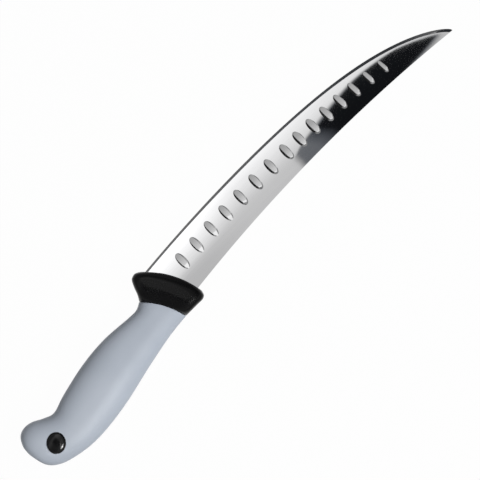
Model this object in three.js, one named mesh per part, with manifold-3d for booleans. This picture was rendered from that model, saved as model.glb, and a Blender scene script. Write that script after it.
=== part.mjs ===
// Curved butcher's slicing knife: a scalloped steel blade with a full-length tang, a black collar,
// and a soft grey grip moulded over a two-piece core that is pinned and riveted to the tang.
// Millimetres. The knife lies on its right side: +X points to the tip, +Y to the cutting edge, +Z up.
// While it is built, x = 0 is where the middle of the blade leaves the collar, y = 0 is the axis from
// butt to tip and z = 0 is the middle plane of the blade.
import * as THREE from "three";
import { mergeVertices } from "three/addons/utils/BufferGeometryUtils.js";
import Module from "manifold-3d";

const wasm = await Module();
wasm.setup();

// Blade outline
const bladeLength = 210; // collar to tip
const bladeHeight = 28.95; // spine to edge at the collar
const bladeNarrowing = 0.287; // share of the height lost along the blade, before the point turns in
const pointFullness = 6; // a higher value turns the edge in later
const pointRoundness = 0.775; // a lower value makes the point blunter
const tipHeight = 0.6; // flat left on the very tip
const spineAtCollar = -2.9; // height of the spine where it leaves the collar
const spineAtTip = -1;
const spineBow = 5.8; // how far the spine curves in between its ends

// Blade section
const stockThickness = 2.5; // tang, and spine at the collar
const tipThickness = 1.2; // spine at the tip
const bevelWidth = 1.4; // ground edge bevel, square to the edge
const bevelThickness = 0.85; // steel left behind the edge bevel
const grindWidth = 20; // edge to the flat band along the spine
const grindCorners = [0.35, 0.65, 1]; // shares of that width at which the section turns
const spineCrown = 0.15; // rounding of the spine's back

// Hollows in the faces of the blade
const hollowLength = 11.1;
const hollowWidth = 5;
const hollowDepth = 0.35;
const hollowSetback = 12.1; // edge to the middle of a hollow
const hollowFirst = 9.4; // collar to the first hollow
const hollowPitch = 12.2; // spacing in the straight part of the blade
const hollowPointPitch = 10.4; // spacing towards the point
const hollowStraightRun = 94; // length of blade that has the wider spacing
const hollowFullHeight = 24; // blade height below which the hollows get smaller
const hollowLeastHeight = 17; // blade height below which there are none
const hollowRise = 0.405; // share of the blade's height from the spine to a hollow's middle near the point
const hollowFoot = 2.75; // length added to that rise
const hollowShortening = 0.26; // share of the length lost at the least height
const hollowThinning = 0.44; // share of the width lost at the least height

// Tang
const tangHeight = 13;
const pocketDepth = 5; // length of the blade's heel that sits in the collar

// Collar
const collarThickness = 22; // across its flat sides
const collarCrown = 0.15; // taken off each side to make it flat
const collarShoulder = 17; // thickness at the rounded front
const collarDrop = 8.8; // palm side of the collar, below the axis
const guardCover = 4; // top of the finger guard, above the edge of the blade
const guardSetback = 15.6; // top of the finger guard, behind x = 0
const guardFall = 1.4; // fall of the guard's rounded top to the front line
const seamPalmSetback = 11; // rear end of the palm side, behind x = 0
const seamFingerSetback = 24.3; // rear end of the finger side
const seamFingerRise = 15.7;
const seamBow = 2.1; // bow of the line between collar and grip
const frontPalmReach = 5.2; // front line at the palm side, ahead of x = 0
const frontFingerSetback = 12.1; // front line at the finger side, behind x = 0
const frontBow = 3.3;
const cornerLength = 3.1; // rounded corner between front and palm side
const cornerHeight = 3.8;
const collarSquareness = 7; // 2 is an ellipse, more is boxier
const collarFlareEnd = 1 / 2; // share of the collar at which it is at full width
const collarShoulderStart = 2 / 3; // share of the collar at which its front starts to round off

// Grip
const gripLength = 118.6; // palm end of the seam to the butt
const neckRise = 13.4; // heights of the finger side above the axis
const bellyRise = 14.6;
const waistRise = 5.3;
const beakRise = 11.2;
const palmSwell = 22.6; // deepest point of the palm side, below the axis
const buttDrop = 1.5; // rearmost point of the butt, below the axis
const seamThickness = 17.6;
const neckThickness = 17.4;
const bellyThickness = 22;
const waistThickness = 20.4;
const pommelThickness = 20;
const buttRounding = 0.16; // share of the grip that rounds off to the butt
const buttFlat = 0.008; // share of the grip left flat at the butt
const gripSquareness = 2.7;
const gripWall = 3.2; // soft layer over the core

// Core, pins and rivet
const spigotDepth = 3; // core that reaches into the collar
const coreEndWall = 2.5; // core behind the tang's end
const coreSplit = 0.3; // gap between the core halves
const pinDiameter = 4;
const pinRecess = 1; // pin end below the surface of the core
const rivetSetback = 15.9; // butt to the middle of the rivet
const rivetDrop = 7.7; // rivet below the axis
const rivetHeadLength = 12;
const rivetHeadWidth = 10.7;
const rivetHeadTurn = 45; // degrees from +X to the long way of the head
const rivetDome = 1.3; // height of the dome over its rim
const rivetRimSink = 0.5; // rim below the widest part of the grip
const rivetSpotFace = 0.6; // depth of the head's seat in the core
const rivetShankDiameter = 6;
const rivetBoreDiameter = 3.6;
const rivetBoreRoof = 1.2; // solid shank left between the bore and the head

// Fits and fineness
const fitGap = 0.25; // between pieces that touch
const seamOverrun = 1; // extra length of collar and grip before both are cut at the seam
const cutReach = bladeLength + gripLength; // a cut of this length passes right through any piece
const facePoints = 17; // along each face of the handle's sections
const outlineSteps = 48; // along a face, before its points are spaced
const bladeStations = 26;
const tipCrowding = 1.4; // above 1, the blade's stations lie closer together towards the tip
const collarStations = 12;
const gripStations = 26;
const coreStations = 16;
const lineSteps = 16; // along a bowed cut
const domeSteps = 5;
const roundSides = 16; // around pins, rivets and hollows

const { lerp, clamp, smoothstep, degToRad } = THREE.MathUtils;
const point = (x, y) => new THREE.Vector2(x, y);

// Evenly spaced shares from 0 to 1
function shares(count) {
  const steps = Math.round(count);
  return Array.from({ length: steps + 1 }, (_, i) => i / steps);
}

// Solids from geometry, and meshes from solids
function solidOf(geometry) {
  const bare = geometry.clone();
  bare.deleteAttribute("normal");
  bare.deleteAttribute("uv");
  const merged = mergeVertices(bare);
  const corners = merged.index.array;
  const triVerts = [];
  for (let i = 0; i < corners.length; i += 3) {
    const [a, b, c] = corners.slice(i, i + 3);
    if (a !== b && b !== c && c !== a) {
      triVerts.push(a, b, c);
    }
  }
  const vertProperties = new Float32Array(merged.attributes.position.array);
  const mesh = new wasm.Mesh({ numProp: 3, vertProperties, triVerts: new Uint32Array(triVerts) });
  return new wasm.Manifold(mesh);
}

function meshOf(name, solid, finish) {
  const { vertProperties, triVerts } = solid.getMesh();
  const geometry = new THREE.BufferGeometry();
  geometry.setAttribute("position", new THREE.BufferAttribute(vertProperties, 3));
  geometry.setIndex(new THREE.BufferAttribute(triVerts, 1));
  geometry.computeVertexNormals();
  const mesh = new THREE.Mesh(geometry, new THREE.MeshStandardMaterial(finish));
  mesh.name = name;
  return mesh;
}

// Closed solid through rings that run towards the tip. A ring starts at its edge-side end and turns
// down its left face, so its points i and count - i face each other across the middle plane.
function loft(rings) {
  const count = rings[0].length;
  const last = (rings.length - 1) * count;
  const triangles = [];
  const addQuad = (a, b, c, d) => triangles.push(a, b, d, b, c, d);
  for (let base = 0; base < last; base += count) {
    for (let i = 0; i < count; i += 1) {
      const next = (i + 1) % count;
      addQuad(base + i, base + next, base + count + next, base + count + i);
    }
  }
  for (let i = 0; i < count / 2; i += 1) {
    const across = (count - i) % count;
    addQuad(last + i, last + i + 1, last + count - i - 1, last + across);
    addQuad(i, across, count - i - 1, i + 1);
  }
  const geometry = new THREE.BufferGeometry();
  const positions = rings.flat().flatMap((corner) => corner.toArray());
  geometry.setAttribute("position", new THREE.Float32BufferAttribute(positions, 3));
  geometry.setIndex(triangles);
  return solidOf(geometry);
}

// Plate of a flat outline, centred on the middle plane
function plate(outline, thickness) {
  const options = { depth: thickness, bevelEnabled: false, curveSegments: roundSides };
  return new THREE.ExtrudeGeometry(outline, options).translate(0, 0, -thickness / 2);
}

// Round bar across the knife, between two heights
function crossBar(centre, diameter, bottom, top) {
  const geometry = new THREE.CylinderGeometry(diameter / 2, diameter / 2, top - bottom, roundSides);
  return solidOf(geometry.rotateX(Math.PI / 2).translate(centre.x, centre.y, (bottom + top) / 2));
}

const crossHole = (centre, diameter) => crossBar(centre, diameter + 2 * fitGap, -cutReach, cutReach);

// Line across the handle from its palm side to its finger side, bowed towards the tip
function bowedLine(palm, finger, bow) {
  const chord = finger.clone().sub(palm);
  const forward = point(chord.y, -chord.x).normalize();
  const at = (share) =>
    palm.clone().addScaledVector(chord, share).addScaledVector(forward, 4 * bow * share * (1 - share));
  return { palm, finger, bow, forward, at };
}

// The same line moved along the knife
function movedLine({ palm, finger, bow, forward }, distance) {
  const step = forward.clone().multiplyScalar(distance);
  return bowedLine(palm.clone().add(step), finger.clone().add(step), bow);
}

// The same line drawn in at both ends
function drawnInLine({ palm, finger, bow }, inset) {
  const step = finger.clone().sub(palm).setLength(inset);
  return bowedLine(palm.clone().add(step), finger.clone().sub(step), bow);
}

// Rounded section of the handle on such a line, with its points evenly spaced
function section(line, thickness, squareness) {
  const swell = (value) => Math.sign(value) * Math.abs(value) ** (2 / squareness);
  const half = line.palm.distanceTo(line.finger) / 2;
  const outline = shares(outlineSteps).map((share) => {
    const angle = Math.PI * share;
    return point(half * swell(Math.cos(angle)), (thickness / 2) * swell(Math.sin(angle)));
  });
  const leftFace = new THREE.SplineCurve(outline).getSpacedPoints(Math.round(facePoints));
  const rightFace = leftFace.slice(1, -1).reverse().map(({ x, y }) => point(x, -y));
  return [...leftFace, ...rightFace].map(({ x, y }) => {
    const place = line.at((1 + x / half) / 2);
    return new THREE.Vector3(place.x, place.y, y);
  });
}

// Everything behind such a line, which runs on straight past both of its ends
function behind(line) {
  const overrun = 0.15;
  const side = line.finger.clone().sub(line.palm).setLength(cutReach);
  const back = line.forward.clone().multiplyScalar(-cutReach);
  const outline = shares(lineSteps).map((share) => line.at(lerp(-overrun, 1 + overrun, share)));
  const palmEnd = outline[0].clone().sub(side);
  const fingerEnd = outline.at(-1).clone().add(side);
  const corners = [palmEnd, ...outline, fingerEnd, fingerEnd.clone().add(back), palmEnd.clone().add(back)];
  return solidOf(plate(new THREE.Shape(corners), cutReach));
}

// Point at a share of the way from one point to another, with its own share of the climb
const pointBetween = (from, to, way, climb) => point(lerp(from.x, to.x, way), lerp(from.y, to.y, climb));

// Blade outline and section
function spineHeight(x) {
  const share = x / bladeLength;
  return lerp(spineAtCollar, spineAtTip, share) + 4 * spineBow * share * (1 - share);
}

function heightOfBlade(x) {
  const share = x / bladeLength;
  const turnIn = (1 - Math.max(0, share) ** pointFullness) ** pointRoundness;
  return tipHeight + (bladeHeight - tipHeight) * (1 - bladeNarrowing * share) * turnIn;
}

const edgeHeight = (x) => spineHeight(x) + heightOfBlade(x);

function edgeSlope(x) {
  const step = 0.5;
  const ahead = Math.min(bladeLength, x + step);
  return (edgeHeight(ahead) - edgeHeight(x - step)) / (ahead - x + step);
}

// Half of the blade's thickness, at a depth square to its edge
function halfThickness(x, depth) {
  if (depth <= bevelWidth) {
    return (bevelThickness * depth) / bevelWidth / 2;
  }
  const spine = lerp(stockThickness, tipThickness, Math.max(0, x / bladeLength));
  const rise = Math.min(1, (depth - bevelWidth) / (grindWidth - bevelWidth));
  return lerp(bevelThickness, spine, rise * (2 - rise)) / 2;
}

// Section of the blade: edge, bevel, crowned grind, flat band and spine, left face first
function bladeSection(x, grow) {
  const edge = edgeHeight(x) + grow;
  const spine = spineHeight(x) - grow;
  const lean = Math.cos(Math.atan(edgeSlope(x)));
  const reach = (edge - spine) * lean;
  const mostBevel = 0.2 * reach;
  const mostGrind = 0.9 * reach;
  const grind = Math.min(grindWidth, mostGrind);
  const depths = [Math.min(bevelWidth, mostBevel), ...grindCorners.map((share) => share * grind), reach];
  const left = depths.map(
    (depth) => new THREE.Vector3(x, edge - depth / lean, halfThickness(x, depth) + grow),
  );
  const right = left.toReversed().map(({ y, z }) => new THREE.Vector3(x, y, -z));
  const back = new THREE.Vector3(x, spine - spineCrown, 0);
  return [new THREE.Vector3(x, edge, 0), ...left, back, ...right];
}

// Blade without its tang, from inside the collar to the tip
function bladeBody(grow) {
  const stations = shares(bladeStations).map((share) => (1 - share) ** tipCrowding);
  return loft(stations.map((left) => bladeSection(lerp(bladeLength, -seamFingerSetback, left), grow)));
}

// Collar lines and outline
const guardTop = point(-guardSetback, edgeHeight(-guardSetback) + guardCover);
const seam = bowedLine(
  point(-seamPalmSetback, -collarDrop),
  point(-seamFingerSetback, seamFingerRise),
  seamBow,
);
const front = bowedLine(
  point(frontPalmReach, cornerHeight - collarDrop),
  point(-frontFingerSetback, guardTop.y - guardFall),
  frontBow,
);
const heel = movedLine(front, -pocketDepth);
const collarCorner = point(frontPalmReach - cornerLength, -collarDrop);

const collarFingerSide = new THREE.SplineCurve([
  seam.finger,
  pointBetween(seam.finger, guardTop, 0.24, 0.26),
  pointBetween(seam.finger, guardTop, 0.42, 0.58),
  pointBetween(seam.finger, guardTop, 0.67, 0.9),
  guardTop,
  pointBetween(guardTop, front.finger, 0.55, 0.3),
  front.finger,
]);
const collarPalmSide = new THREE.SplineCurve([
  seam.palm,
  pointBetween(seam.palm, collarCorner, 0.25, 0),
  pointBetween(seam.palm, collarCorner, 0.5, 0),
  pointBetween(seam.palm, collarCorner, 0.75, 0),
  collarCorner,
  pointBetween(collarCorner, front.palm, 0.7, 0.3),
  front.palm,
]);

// The collar leaves the grip flush, flares to its full width, runs flat and rounds off at the front
const collarFlare = (share) => Math.sin((Math.PI / 2) * Math.min(1, share / collarFlareEnd));

function collarWidth(share) {
  const fullWidth = collarThickness + 2 * collarCrown;
  const turn = Math.max(0, (share - collarShoulderStart) / (1 - collarShoulderStart));
  const shoulder = (fullWidth - collarShoulder) * (1 - Math.sqrt(1 - turn * turn));
  return lerp(seamThickness, fullWidth, collarFlare(share)) - shoulder;
}

function collarSection(share) {
  const bow = lerp(seamBow, frontBow, share);
  const line = bowedLine(collarPalmSide.getPoint(share), collarFingerSide.getPoint(share), bow);
  const squareness = lerp(gripSquareness, collarSquareness, collarFlare(share));
  return section(line, collarWidth(share), squareness);
}

function collarBody() {
  const overrun = section(movedLine(seam, -seamOverrun), seamThickness, gripSquareness);
  const betweenFlats = solidOf(new THREE.BoxGeometry(2 * cutReach, 2 * cutReach, collarThickness));
  const body = loft([overrun, ...shares(collarStations).map(collarSection)]);
  return body.subtract(behind(seam)).intersect(betweenFlats);
}

// Grip outline
const butt = point(-seamPalmSetback - gripLength, -buttDrop);
const fingerPoint = (way, height) => point(lerp(seam.finger.x, butt.x, way), height);
const palmPoint = (way, height) => point(lerp(seam.palm.x, butt.x, way), height);
const neck = fingerPoint(0.105, neckRise);
const belly = fingerPoint(0.282, bellyRise);
const waist = fingerPoint(0.7465, waistRise);
const beak = fingerPoint(0.917, beakRise);
const swell = palmPoint(0.75, -palmSwell);

const gripFingerSide = new THREE.SplineCurve([
  seam.finger,
  pointBetween(seam.finger, neck, 0.42, 1),
  neck,
  belly,
  pointBetween(belly, waist, 0.38, 0.18),
  pointBetween(belly, waist, 0.78, 0.65),
  waist,
  pointBetween(waist, beak, 0.38, 0.35),
  pointBetween(waist, beak, 0.7, 0.85),
  beak,
  pointBetween(beak, butt, 0.55, 0.14),
  pointBetween(beak, butt, 0.91, 0.54),
  butt,
]);
const gripPalmSide = new THREE.SplineCurve([
  seam.palm,
  pointBetween(seam.palm, swell, 0.16, 0.11),
  pointBetween(seam.palm, swell, 0.38, 0.385),
  pointBetween(seam.palm, swell, 0.64, 0.77),
  pointBetween(seam.palm, swell, 0.84, 0.965),
  swell,
  pointBetween(swell, butt, 0.44, 0.095),
  pointBetween(swell, butt, 0.745, 0.26),
  pointBetween(swell, butt, 0.92, 0.526),
  butt,
]);

const gripWidths = [
  { share: 0, width: seamThickness },
  { share: 0.1, width: neckThickness },
  { share: 0.45, width: bellyThickness },
  { share: 0.7, width: waistThickness },
  { share: 0.82, width: pommelThickness },
  { share: 1, width: pommelThickness },
];

function gripThickness(share) {
  const next = Math.max(1, gripWidths.findIndex((stop) => stop.share >= share));
  const from = gripWidths[next - 1];
  const to = gripWidths[next];
  const width = lerp(from.width, to.width, smoothstep(share, from.share, to.share));
  const turn = Math.max(0, 1 - (1 - share) / buttRounding);
  return width * Math.sqrt(1 - turn * turn);
}

const gripLine = (share) =>
  bowedLine(gripPalmSide.getPointAt(share), gripFingerSide.getPointAt(share), seamBow * (1 - share) ** 3);

// Share of the grip's length at which the middle of its section has a given x
function shareAt(x) {
  let low = 0;
  let high = 1;
  while (high - low > 1e-6) {
    const middle = (low + high) / 2;
    if (gripLine(middle).at(0.5).x > x) {
      low = middle;
    } else {
      high = middle;
    }
  }
  return low;
}

function gripBody() {
  const rings = shares(gripStations).map((step) => {
    const share = (1 - buttFlat) * (1 - step);
    return section(gripLine(share), gripThickness(share), gripSquareness);
  });
  const overrun = section(movedLine(seam, seamOverrun), seamThickness, gripSquareness);
  return loft([...rings, overrun]).intersect(behind(movedLine(seam, -fitGap)));
}

// Tang: a straight strip through the middle of the neck, from the blade to the rivet, round at its end
const tangEnd = point(butt.x + rivetSetback, -rivetDrop);
const neckMiddle = gripLine(shareAt(neck.x)).at(0.5);
const tangDirection = tangEnd.clone().sub(neckMiddle).normalize();
const tangLength = -tangEnd.x / -tangDirection.x;
const tangRoot = tangEnd.clone().addScaledVector(tangDirection, -tangLength);

function tangBody(grow) {
  const half = tangHeight / 2 + grow;
  const outline = new THREE.Shape();
  outline.moveTo(-frontPalmReach, -half);
  outline.lineTo(tangLength, -half);
  outline.absarc(tangLength, 0, half, -Math.PI / 2, Math.PI / 2);
  outline.lineTo(-frontPalmReach, half);
  const strip = plate(outline, stockThickness + 2 * grow);
  strip.rotateZ(tangDirection.angle()).translate(tangRoot.x, tangRoot.y, 0);
  return solidOf(strip).intersect(behind(movedLine(front, -pocketDepth / 2)));
}

// Core: the inside of the grip, with a spigot into the collar
const coreEnd = shareAt(tangEnd.x - tangHeight / 2 - coreEndWall);
const coreThickness = (share, grow) => gripThickness(share) - 2 * (gripWall - grow);

function coreBody(grow) {
  const coreSection = (share, shift) => {
    const line = drawnInLine(gripLine(share), gripWall - grow);
    return section(movedLine(line, shift), coreThickness(share, grow), gripSquareness);
  };
  const [, ...steps] = shares(coreStations);
  const rings = steps.map((step) => coreSection(coreEnd * (1 - step), 0));
  return loft([coreSection(coreEnd, -grow), ...rings, coreSection(0, spigotDepth + grow)]);
}

// Pins, spaced evenly along the tang between the blade and the rivet
const pins = [
  { name: "tang_pin_front", way: 1 / 3 },
  { name: "tang_pin_rear", way: 2 / 3 },
].map(({ name, way }) => ({ name, centre: pointBetween(tangRoot, tangEnd, way, way) }));

function pinBody(centre) {
  const half = coreThickness(shareAt(centre.x), 0) / 2 - pinRecess;
  return crossBar(centre, pinDiameter, -half, half);
}

// Rivet: the post has the left head and a hollow shank, the cap has the right head and a spigot
const rivetShare = shareAt(tangEnd.x);
const rivetRim = gripThickness(rivetShare) / 2 - rivetRimSink;
const rivetSeat = coreThickness(rivetShare, 0) / 2 - rivetSpotFace;

// Oval shape on the rivet's axis, turned from a profile whose radius is 1 at the head's rim
function ovalTurned(profile, grow, turnedOver) {
  const geometry = new THREE.LatheGeometry(profile, 2 * roundSides).rotateX(Math.PI / 2);
  geometry.scale(rivetHeadLength / 2 + grow, rivetHeadWidth / 2 + grow, 1);
  geometry.rotateX(turnedOver ? Math.PI : 0);
  geometry.rotateZ(degToRad(rivetHeadTurn));
  return solidOf(geometry.translate(tangEnd.x, tangEnd.y, 0));
}

function rivetHead(turnedOver) {
  const dome = shares(domeSteps).map((share) => {
    const angle = (Math.PI / 2) * share;
    return point(share < 1 ? Math.cos(angle) : 0, rivetRim + rivetDome * Math.sin(angle));
  });
  return ovalTurned([point(0, rivetSeat), point(1, rivetSeat), ...dome], 0, turnedOver);
}

function rivetHeadHole(turnedOver) {
  const floor = rivetSeat - fitGap;
  const profile = [point(0, floor), point(1, floor), point(1, cutReach), point(0, cutReach)];
  return ovalTurned(profile, fitGap, turnedOver);
}

function rivetPost() {
  const shank = crossBar(tangEnd, rivetShankDiameter, -rivetSeat + fitGap, rivetRim);
  const bore = crossBar(tangEnd, rivetBoreDiameter, -cutReach, rivetSeat - rivetBoreRoof);
  return rivetHead(false).add(shank).subtract(bore);
}

function rivetCap() {
  const spigotTop = rivetSeat - rivetBoreRoof - fitGap;
  const spigot = crossBar(tangEnd, rivetBoreDiameter - 2 * fitGap, -rivetRim, spigotTop);
  return rivetHead(true).add(spigot);
}

// Dish that grinds one hollow into the left face, or into the right one if it is turned over
function hollowCutter(x, turnedOver) {
  const height = heightOfBlade(x);
  const fade = clamp((hollowFullHeight - height) / (hollowFullHeight - hollowLeastHeight), 0, 1);
  const length = hollowLength * (1 - hollowShortening * fade);
  const width = hollowWidth * (1 - hollowThinning * fade);
  const depth = Math.min(hollowSetback, height - hollowRise * height - hollowFoot);
  const step = length / 2;
  const slope = (halfThickness(x, depth + step) - halfThickness(x, depth - step)) / length;
  const overshoot = 1.25;
  const profile = [0, 0.5, 1, overshoot].map((radius) => point(radius, hollowDepth * (radius ** 2 - 1)));
  const lid = point(0, hollowDepth * overshoot);
  const dish = new THREE.LatheGeometry([...profile, lid], roundSides).rotateX(Math.PI / 2);
  dish.scale(width / 2, length / 2, 1);
  dish.rotateX(-Math.atan(slope));
  dish.translate(0, 0, halfThickness(x, depth));
  dish.rotateY(turnedOver ? Math.PI : 0);
  return solidOf(dish.translate(x, edgeHeight(x) - depth, 0));
}

// Places of the hollows along the blade, starting at a given x
function hollowPlaces(start) {
  const places = [];
  let x = start;
  while (heightOfBlade(x) >= hollowLeastHeight) {
    places.push(x);
    x += x < hollowStraightRun ? hollowPitch : hollowPointPitch;
  }
  return places;
}

// Cross holes for the pins and the rivet's shank
function drilled(solid) {
  const holes = pins.map(({ centre }) => crossHole(centre, pinDiameter));
  holes.push(crossHole(tangEnd, rivetShankDiameter));
  return holes.reduce((piece, hole) => piece.subtract(hole), solid);
}

// The pieces
function bladePiece() {
  const cutters = [
    ...hollowPlaces(hollowFirst).map((x) => hollowCutter(x, false)),
    ...hollowPlaces(hollowFirst + hollowPitch / 2).map((x) => hollowCutter(x, true)),
  ];
  const blank = drilled(bladeBody(0).subtract(behind(heel)).add(tangBody(0)));
  const solid = cutters.reduce((piece, cutter) => piece.subtract(cutter), blank);
  return meshOf("blade", solid, { color: 0xd0d2d4, roughness: 0.18, metalness: 1 });
}

function collarPiece() {
  const bladePocket = bladeBody(fitGap).subtract(behind(movedLine(heel, -fitGap)));
  const solid = collarBody().subtract(bladePocket).subtract(tangBody(fitGap)).subtract(coreBody(fitGap));
  return meshOf("collar", solid, { color: 0x1b1b1c, roughness: 0.38, metalness: 0 });
}

function gripPiece() {
  const solid = gripBody()
    .subtract(coreBody(fitGap))
    .subtract(rivetHeadHole(false))
    .subtract(rivetHeadHole(true));
  return meshOf("grip", solid, { color: 0xaeb6c2, roughness: 0.5, metalness: 0 });
}

function corePiece(name, isRight) {
  const half = new THREE.BoxGeometry(2 * cutReach, 2 * cutReach, cutReach);
  half.translate(butt.x, 0, (isRight ? -1 : 1) * ((cutReach + coreSplit) / 2));
  const solid = drilled(coreBody(0).intersect(solidOf(half)))
    .subtract(tangBody(fitGap))
    .subtract(rivetHeadHole(isRight));
  return meshOf(name, solid, { color: 0x26282b, roughness: 0.6, metalness: 0 });
}

const pinFinish = { color: 0xb9bbbe, roughness: 0.35, metalness: 1 };
const rivetFinish = { color: 0x0c0c0d, roughness: 0.12, metalness: 0 };

const knife = new THREE.Group();
knife.add(bladePiece());
knife.add(collarPiece());
knife.add(gripPiece());
knife.add(corePiece("core_left", false));
knife.add(corePiece("core_right", true));
for (const { name, centre } of pins) {
  knife.add(meshOf(name, pinBody(centre), pinFinish));
}
knife.add(meshOf("butt_rivet_post", rivetPost(), rivetFinish));
knife.add(meshOf("butt_rivet_cap", rivetCap(), rivetFinish));

// The origin is the middle of the knife's outline, on the surface that it lies on
const bounds = new THREE.Box3().setFromObject(knife);
const middle = bounds.getCenter(new THREE.Vector3());
knife.position.set(-middle.x, -middle.y, -bounds.min.z);

export default knife;
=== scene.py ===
"""Dresses the butcher's slicing knife: smooth blade, moulded handle, finishes and the studio.

Metres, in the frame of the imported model. The pieces are drawn in the knife's side view, where x = 0
is where the blade leaves the collar, y = 0 is the axis from butt to tip and z = 0 is the middle
plane of the blade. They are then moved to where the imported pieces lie.
"""

import logging
import math
from bisect import bisect_left
from collections.abc import Callable, Sequence
from dataclasses import dataclass, field
from enum import Enum

import bmesh
import bpy
from mathutils import Matrix, Vector


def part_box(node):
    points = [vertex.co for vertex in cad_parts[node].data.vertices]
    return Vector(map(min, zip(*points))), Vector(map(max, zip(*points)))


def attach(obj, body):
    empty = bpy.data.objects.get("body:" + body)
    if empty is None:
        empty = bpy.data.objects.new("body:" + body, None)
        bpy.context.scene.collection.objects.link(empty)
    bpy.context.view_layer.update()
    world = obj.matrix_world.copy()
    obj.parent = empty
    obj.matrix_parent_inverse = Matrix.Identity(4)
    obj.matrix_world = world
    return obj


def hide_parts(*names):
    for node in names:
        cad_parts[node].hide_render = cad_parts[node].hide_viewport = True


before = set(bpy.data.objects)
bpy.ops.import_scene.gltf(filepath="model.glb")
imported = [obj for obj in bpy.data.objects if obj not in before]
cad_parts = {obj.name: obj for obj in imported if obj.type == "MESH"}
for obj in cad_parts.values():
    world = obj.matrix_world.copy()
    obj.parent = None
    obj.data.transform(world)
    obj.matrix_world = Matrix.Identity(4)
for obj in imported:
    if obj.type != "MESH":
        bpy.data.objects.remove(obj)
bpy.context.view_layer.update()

LOG = logging.getLogger("knife")
BODY = "root"
Ring = list[Vector]
Run = tuple[float, float]
Span = tuple[float, float]
Place = tuple[float, float, float]
Ramp = tuple[float, float, float, float]
Colour = tuple[float, float, float, float]
Socket = bpy.types.NodeSocket


# Small helpers


def mix(start: float, end: float, share: float) -> float:
    """Value at a share of the way from start to end."""
    return start + (end - start) * share


def ease(share: float) -> float:
    """Share from 0 to 1 that starts and ends gently."""
    share = min(1.0, max(0.0, share))
    return share * share * (3.0 - 2.0 * share)


def soft_min(first: float, second: float, blend: float) -> float:
    """Smaller of two lengths, with a rounded passage between them."""
    near = max(0.0, 1.0 - abs(first - second) / blend)
    return max(0.0, min(first, second) - near**2 * blend / 4.0)


def ease_over(x: float, run: Run) -> float:
    """Gentle share of the way along a run of the knife."""
    return ease((x - run[0]) / run[1])


def running_lengths(spots: Sequence[Vector]) -> list[float]:
    """Length of a chain of points up to each of them."""
    lengths = [0.0]
    for first, second in zip(spots, spots[1:]):
        lengths.append(lengths[-1] + (second - first).length)
    return lengths


def stretch_at(lengths: Sequence[float], target: float) -> tuple[int, float]:
    """Stretch of a chain in which a length falls, and the share of that stretch."""
    index = min(len(lengths) - 1, max(1, bisect_left(lengths, target)))
    low, high = lengths[index - 1], lengths[index]
    return index - 1, (target - low) / (high - low)


def between(start: Vector, end: Vector, way: float, climb: float) -> Vector:
    """Point at a share of the way between two points, with its own share of the climb.

    Args:
        start: First point of the side view.
        end: Last point of the side view.
        way: Share of the way along x.
        climb: Share of the way along y.

    Returns:
        The point in the side view.
    """
    return Vector((mix(start.x, end.x, way), mix(start.y, end.y, climb)))


@dataclass
class SmoothLine:
    """Smooth line through points of the side view, walked by way or by length."""

    points: list[Vector]
    steps: int = 200
    lengths: list[float] = field(init=False)

    def __post_init__(self) -> None:
        """Measures the line, so that it can be walked by length."""
        self.lengths = running_lengths([self.at(step / self.steps) for step in range(self.steps + 1)])

    def at(self, way: float) -> Vector:
        """Point at a share of the line's stretches.

        Args:
            way: Share from 0 to 1.

        Returns:
            The point in the side view.
        """
        last = len(self.points) - 1
        index = min(last, int(last * way))
        part = last * way - index
        before = self.points[max(0, index - 1)]
        here = self.points[index]
        ahead = self.points[min(last, index + 1)]
        beyond = self.points[min(last, index + 2)]
        leave = (ahead - before) / 2.0
        arrive = (beyond - here) / 2.0
        cubic = 2.0 * here - 2.0 * ahead + leave + arrive
        square = 3.0 * ahead - 3.0 * here - 2.0 * leave - arrive
        return cubic * part**3 + square * part**2 + leave * part + here

    def walk(self, share: float) -> Vector:
        """Point at a share of the line's length.

        Args:
            share: Share from 0 to 1.

        Returns:
            The point in the side view.
        """
        index, part = stretch_at(self.lengths, share * self.lengths[-1])
        return self.at((index + part) / self.steps)


@dataclass(frozen=True)
class CrossLine:
    """Line across the handle from its palm side to its finger side, bowed towards the tip."""

    palm: Vector
    finger: Vector
    bow: float

    @property
    def forward(self) -> Vector:
        """Direction square to the line, towards the tip."""
        chord = self.finger - self.palm
        return Vector((chord.y, -chord.x)).normalized()

    def at(self, share: float) -> Vector:
        """Point at a share of the way from palm side to finger side."""
        return self.palm.lerp(self.finger, share) + self.forward * (4.0 * self.bow * share * (1.0 - share))

    def moved(self, distance: float) -> "CrossLine":
        """The same line moved towards the tip."""
        step = self.forward * distance
        return CrossLine(self.palm + step, self.finger + step, self.bow)

    def drawn_in(self, inset: float) -> "CrossLine":
        """The same line drawn in at both ends."""
        step = (self.finger - self.palm).normalized() * inset
        return CrossLine(self.palm + step, self.finger - step, self.bow)

    def x_at(self, y: float) -> float:
        """Place of the line along the knife at a height of the side view."""
        share = (y - self.palm.y) / (self.finger.y - self.palm.y)
        return self.at(min(1.0, max(0.0, share))).x


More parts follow.
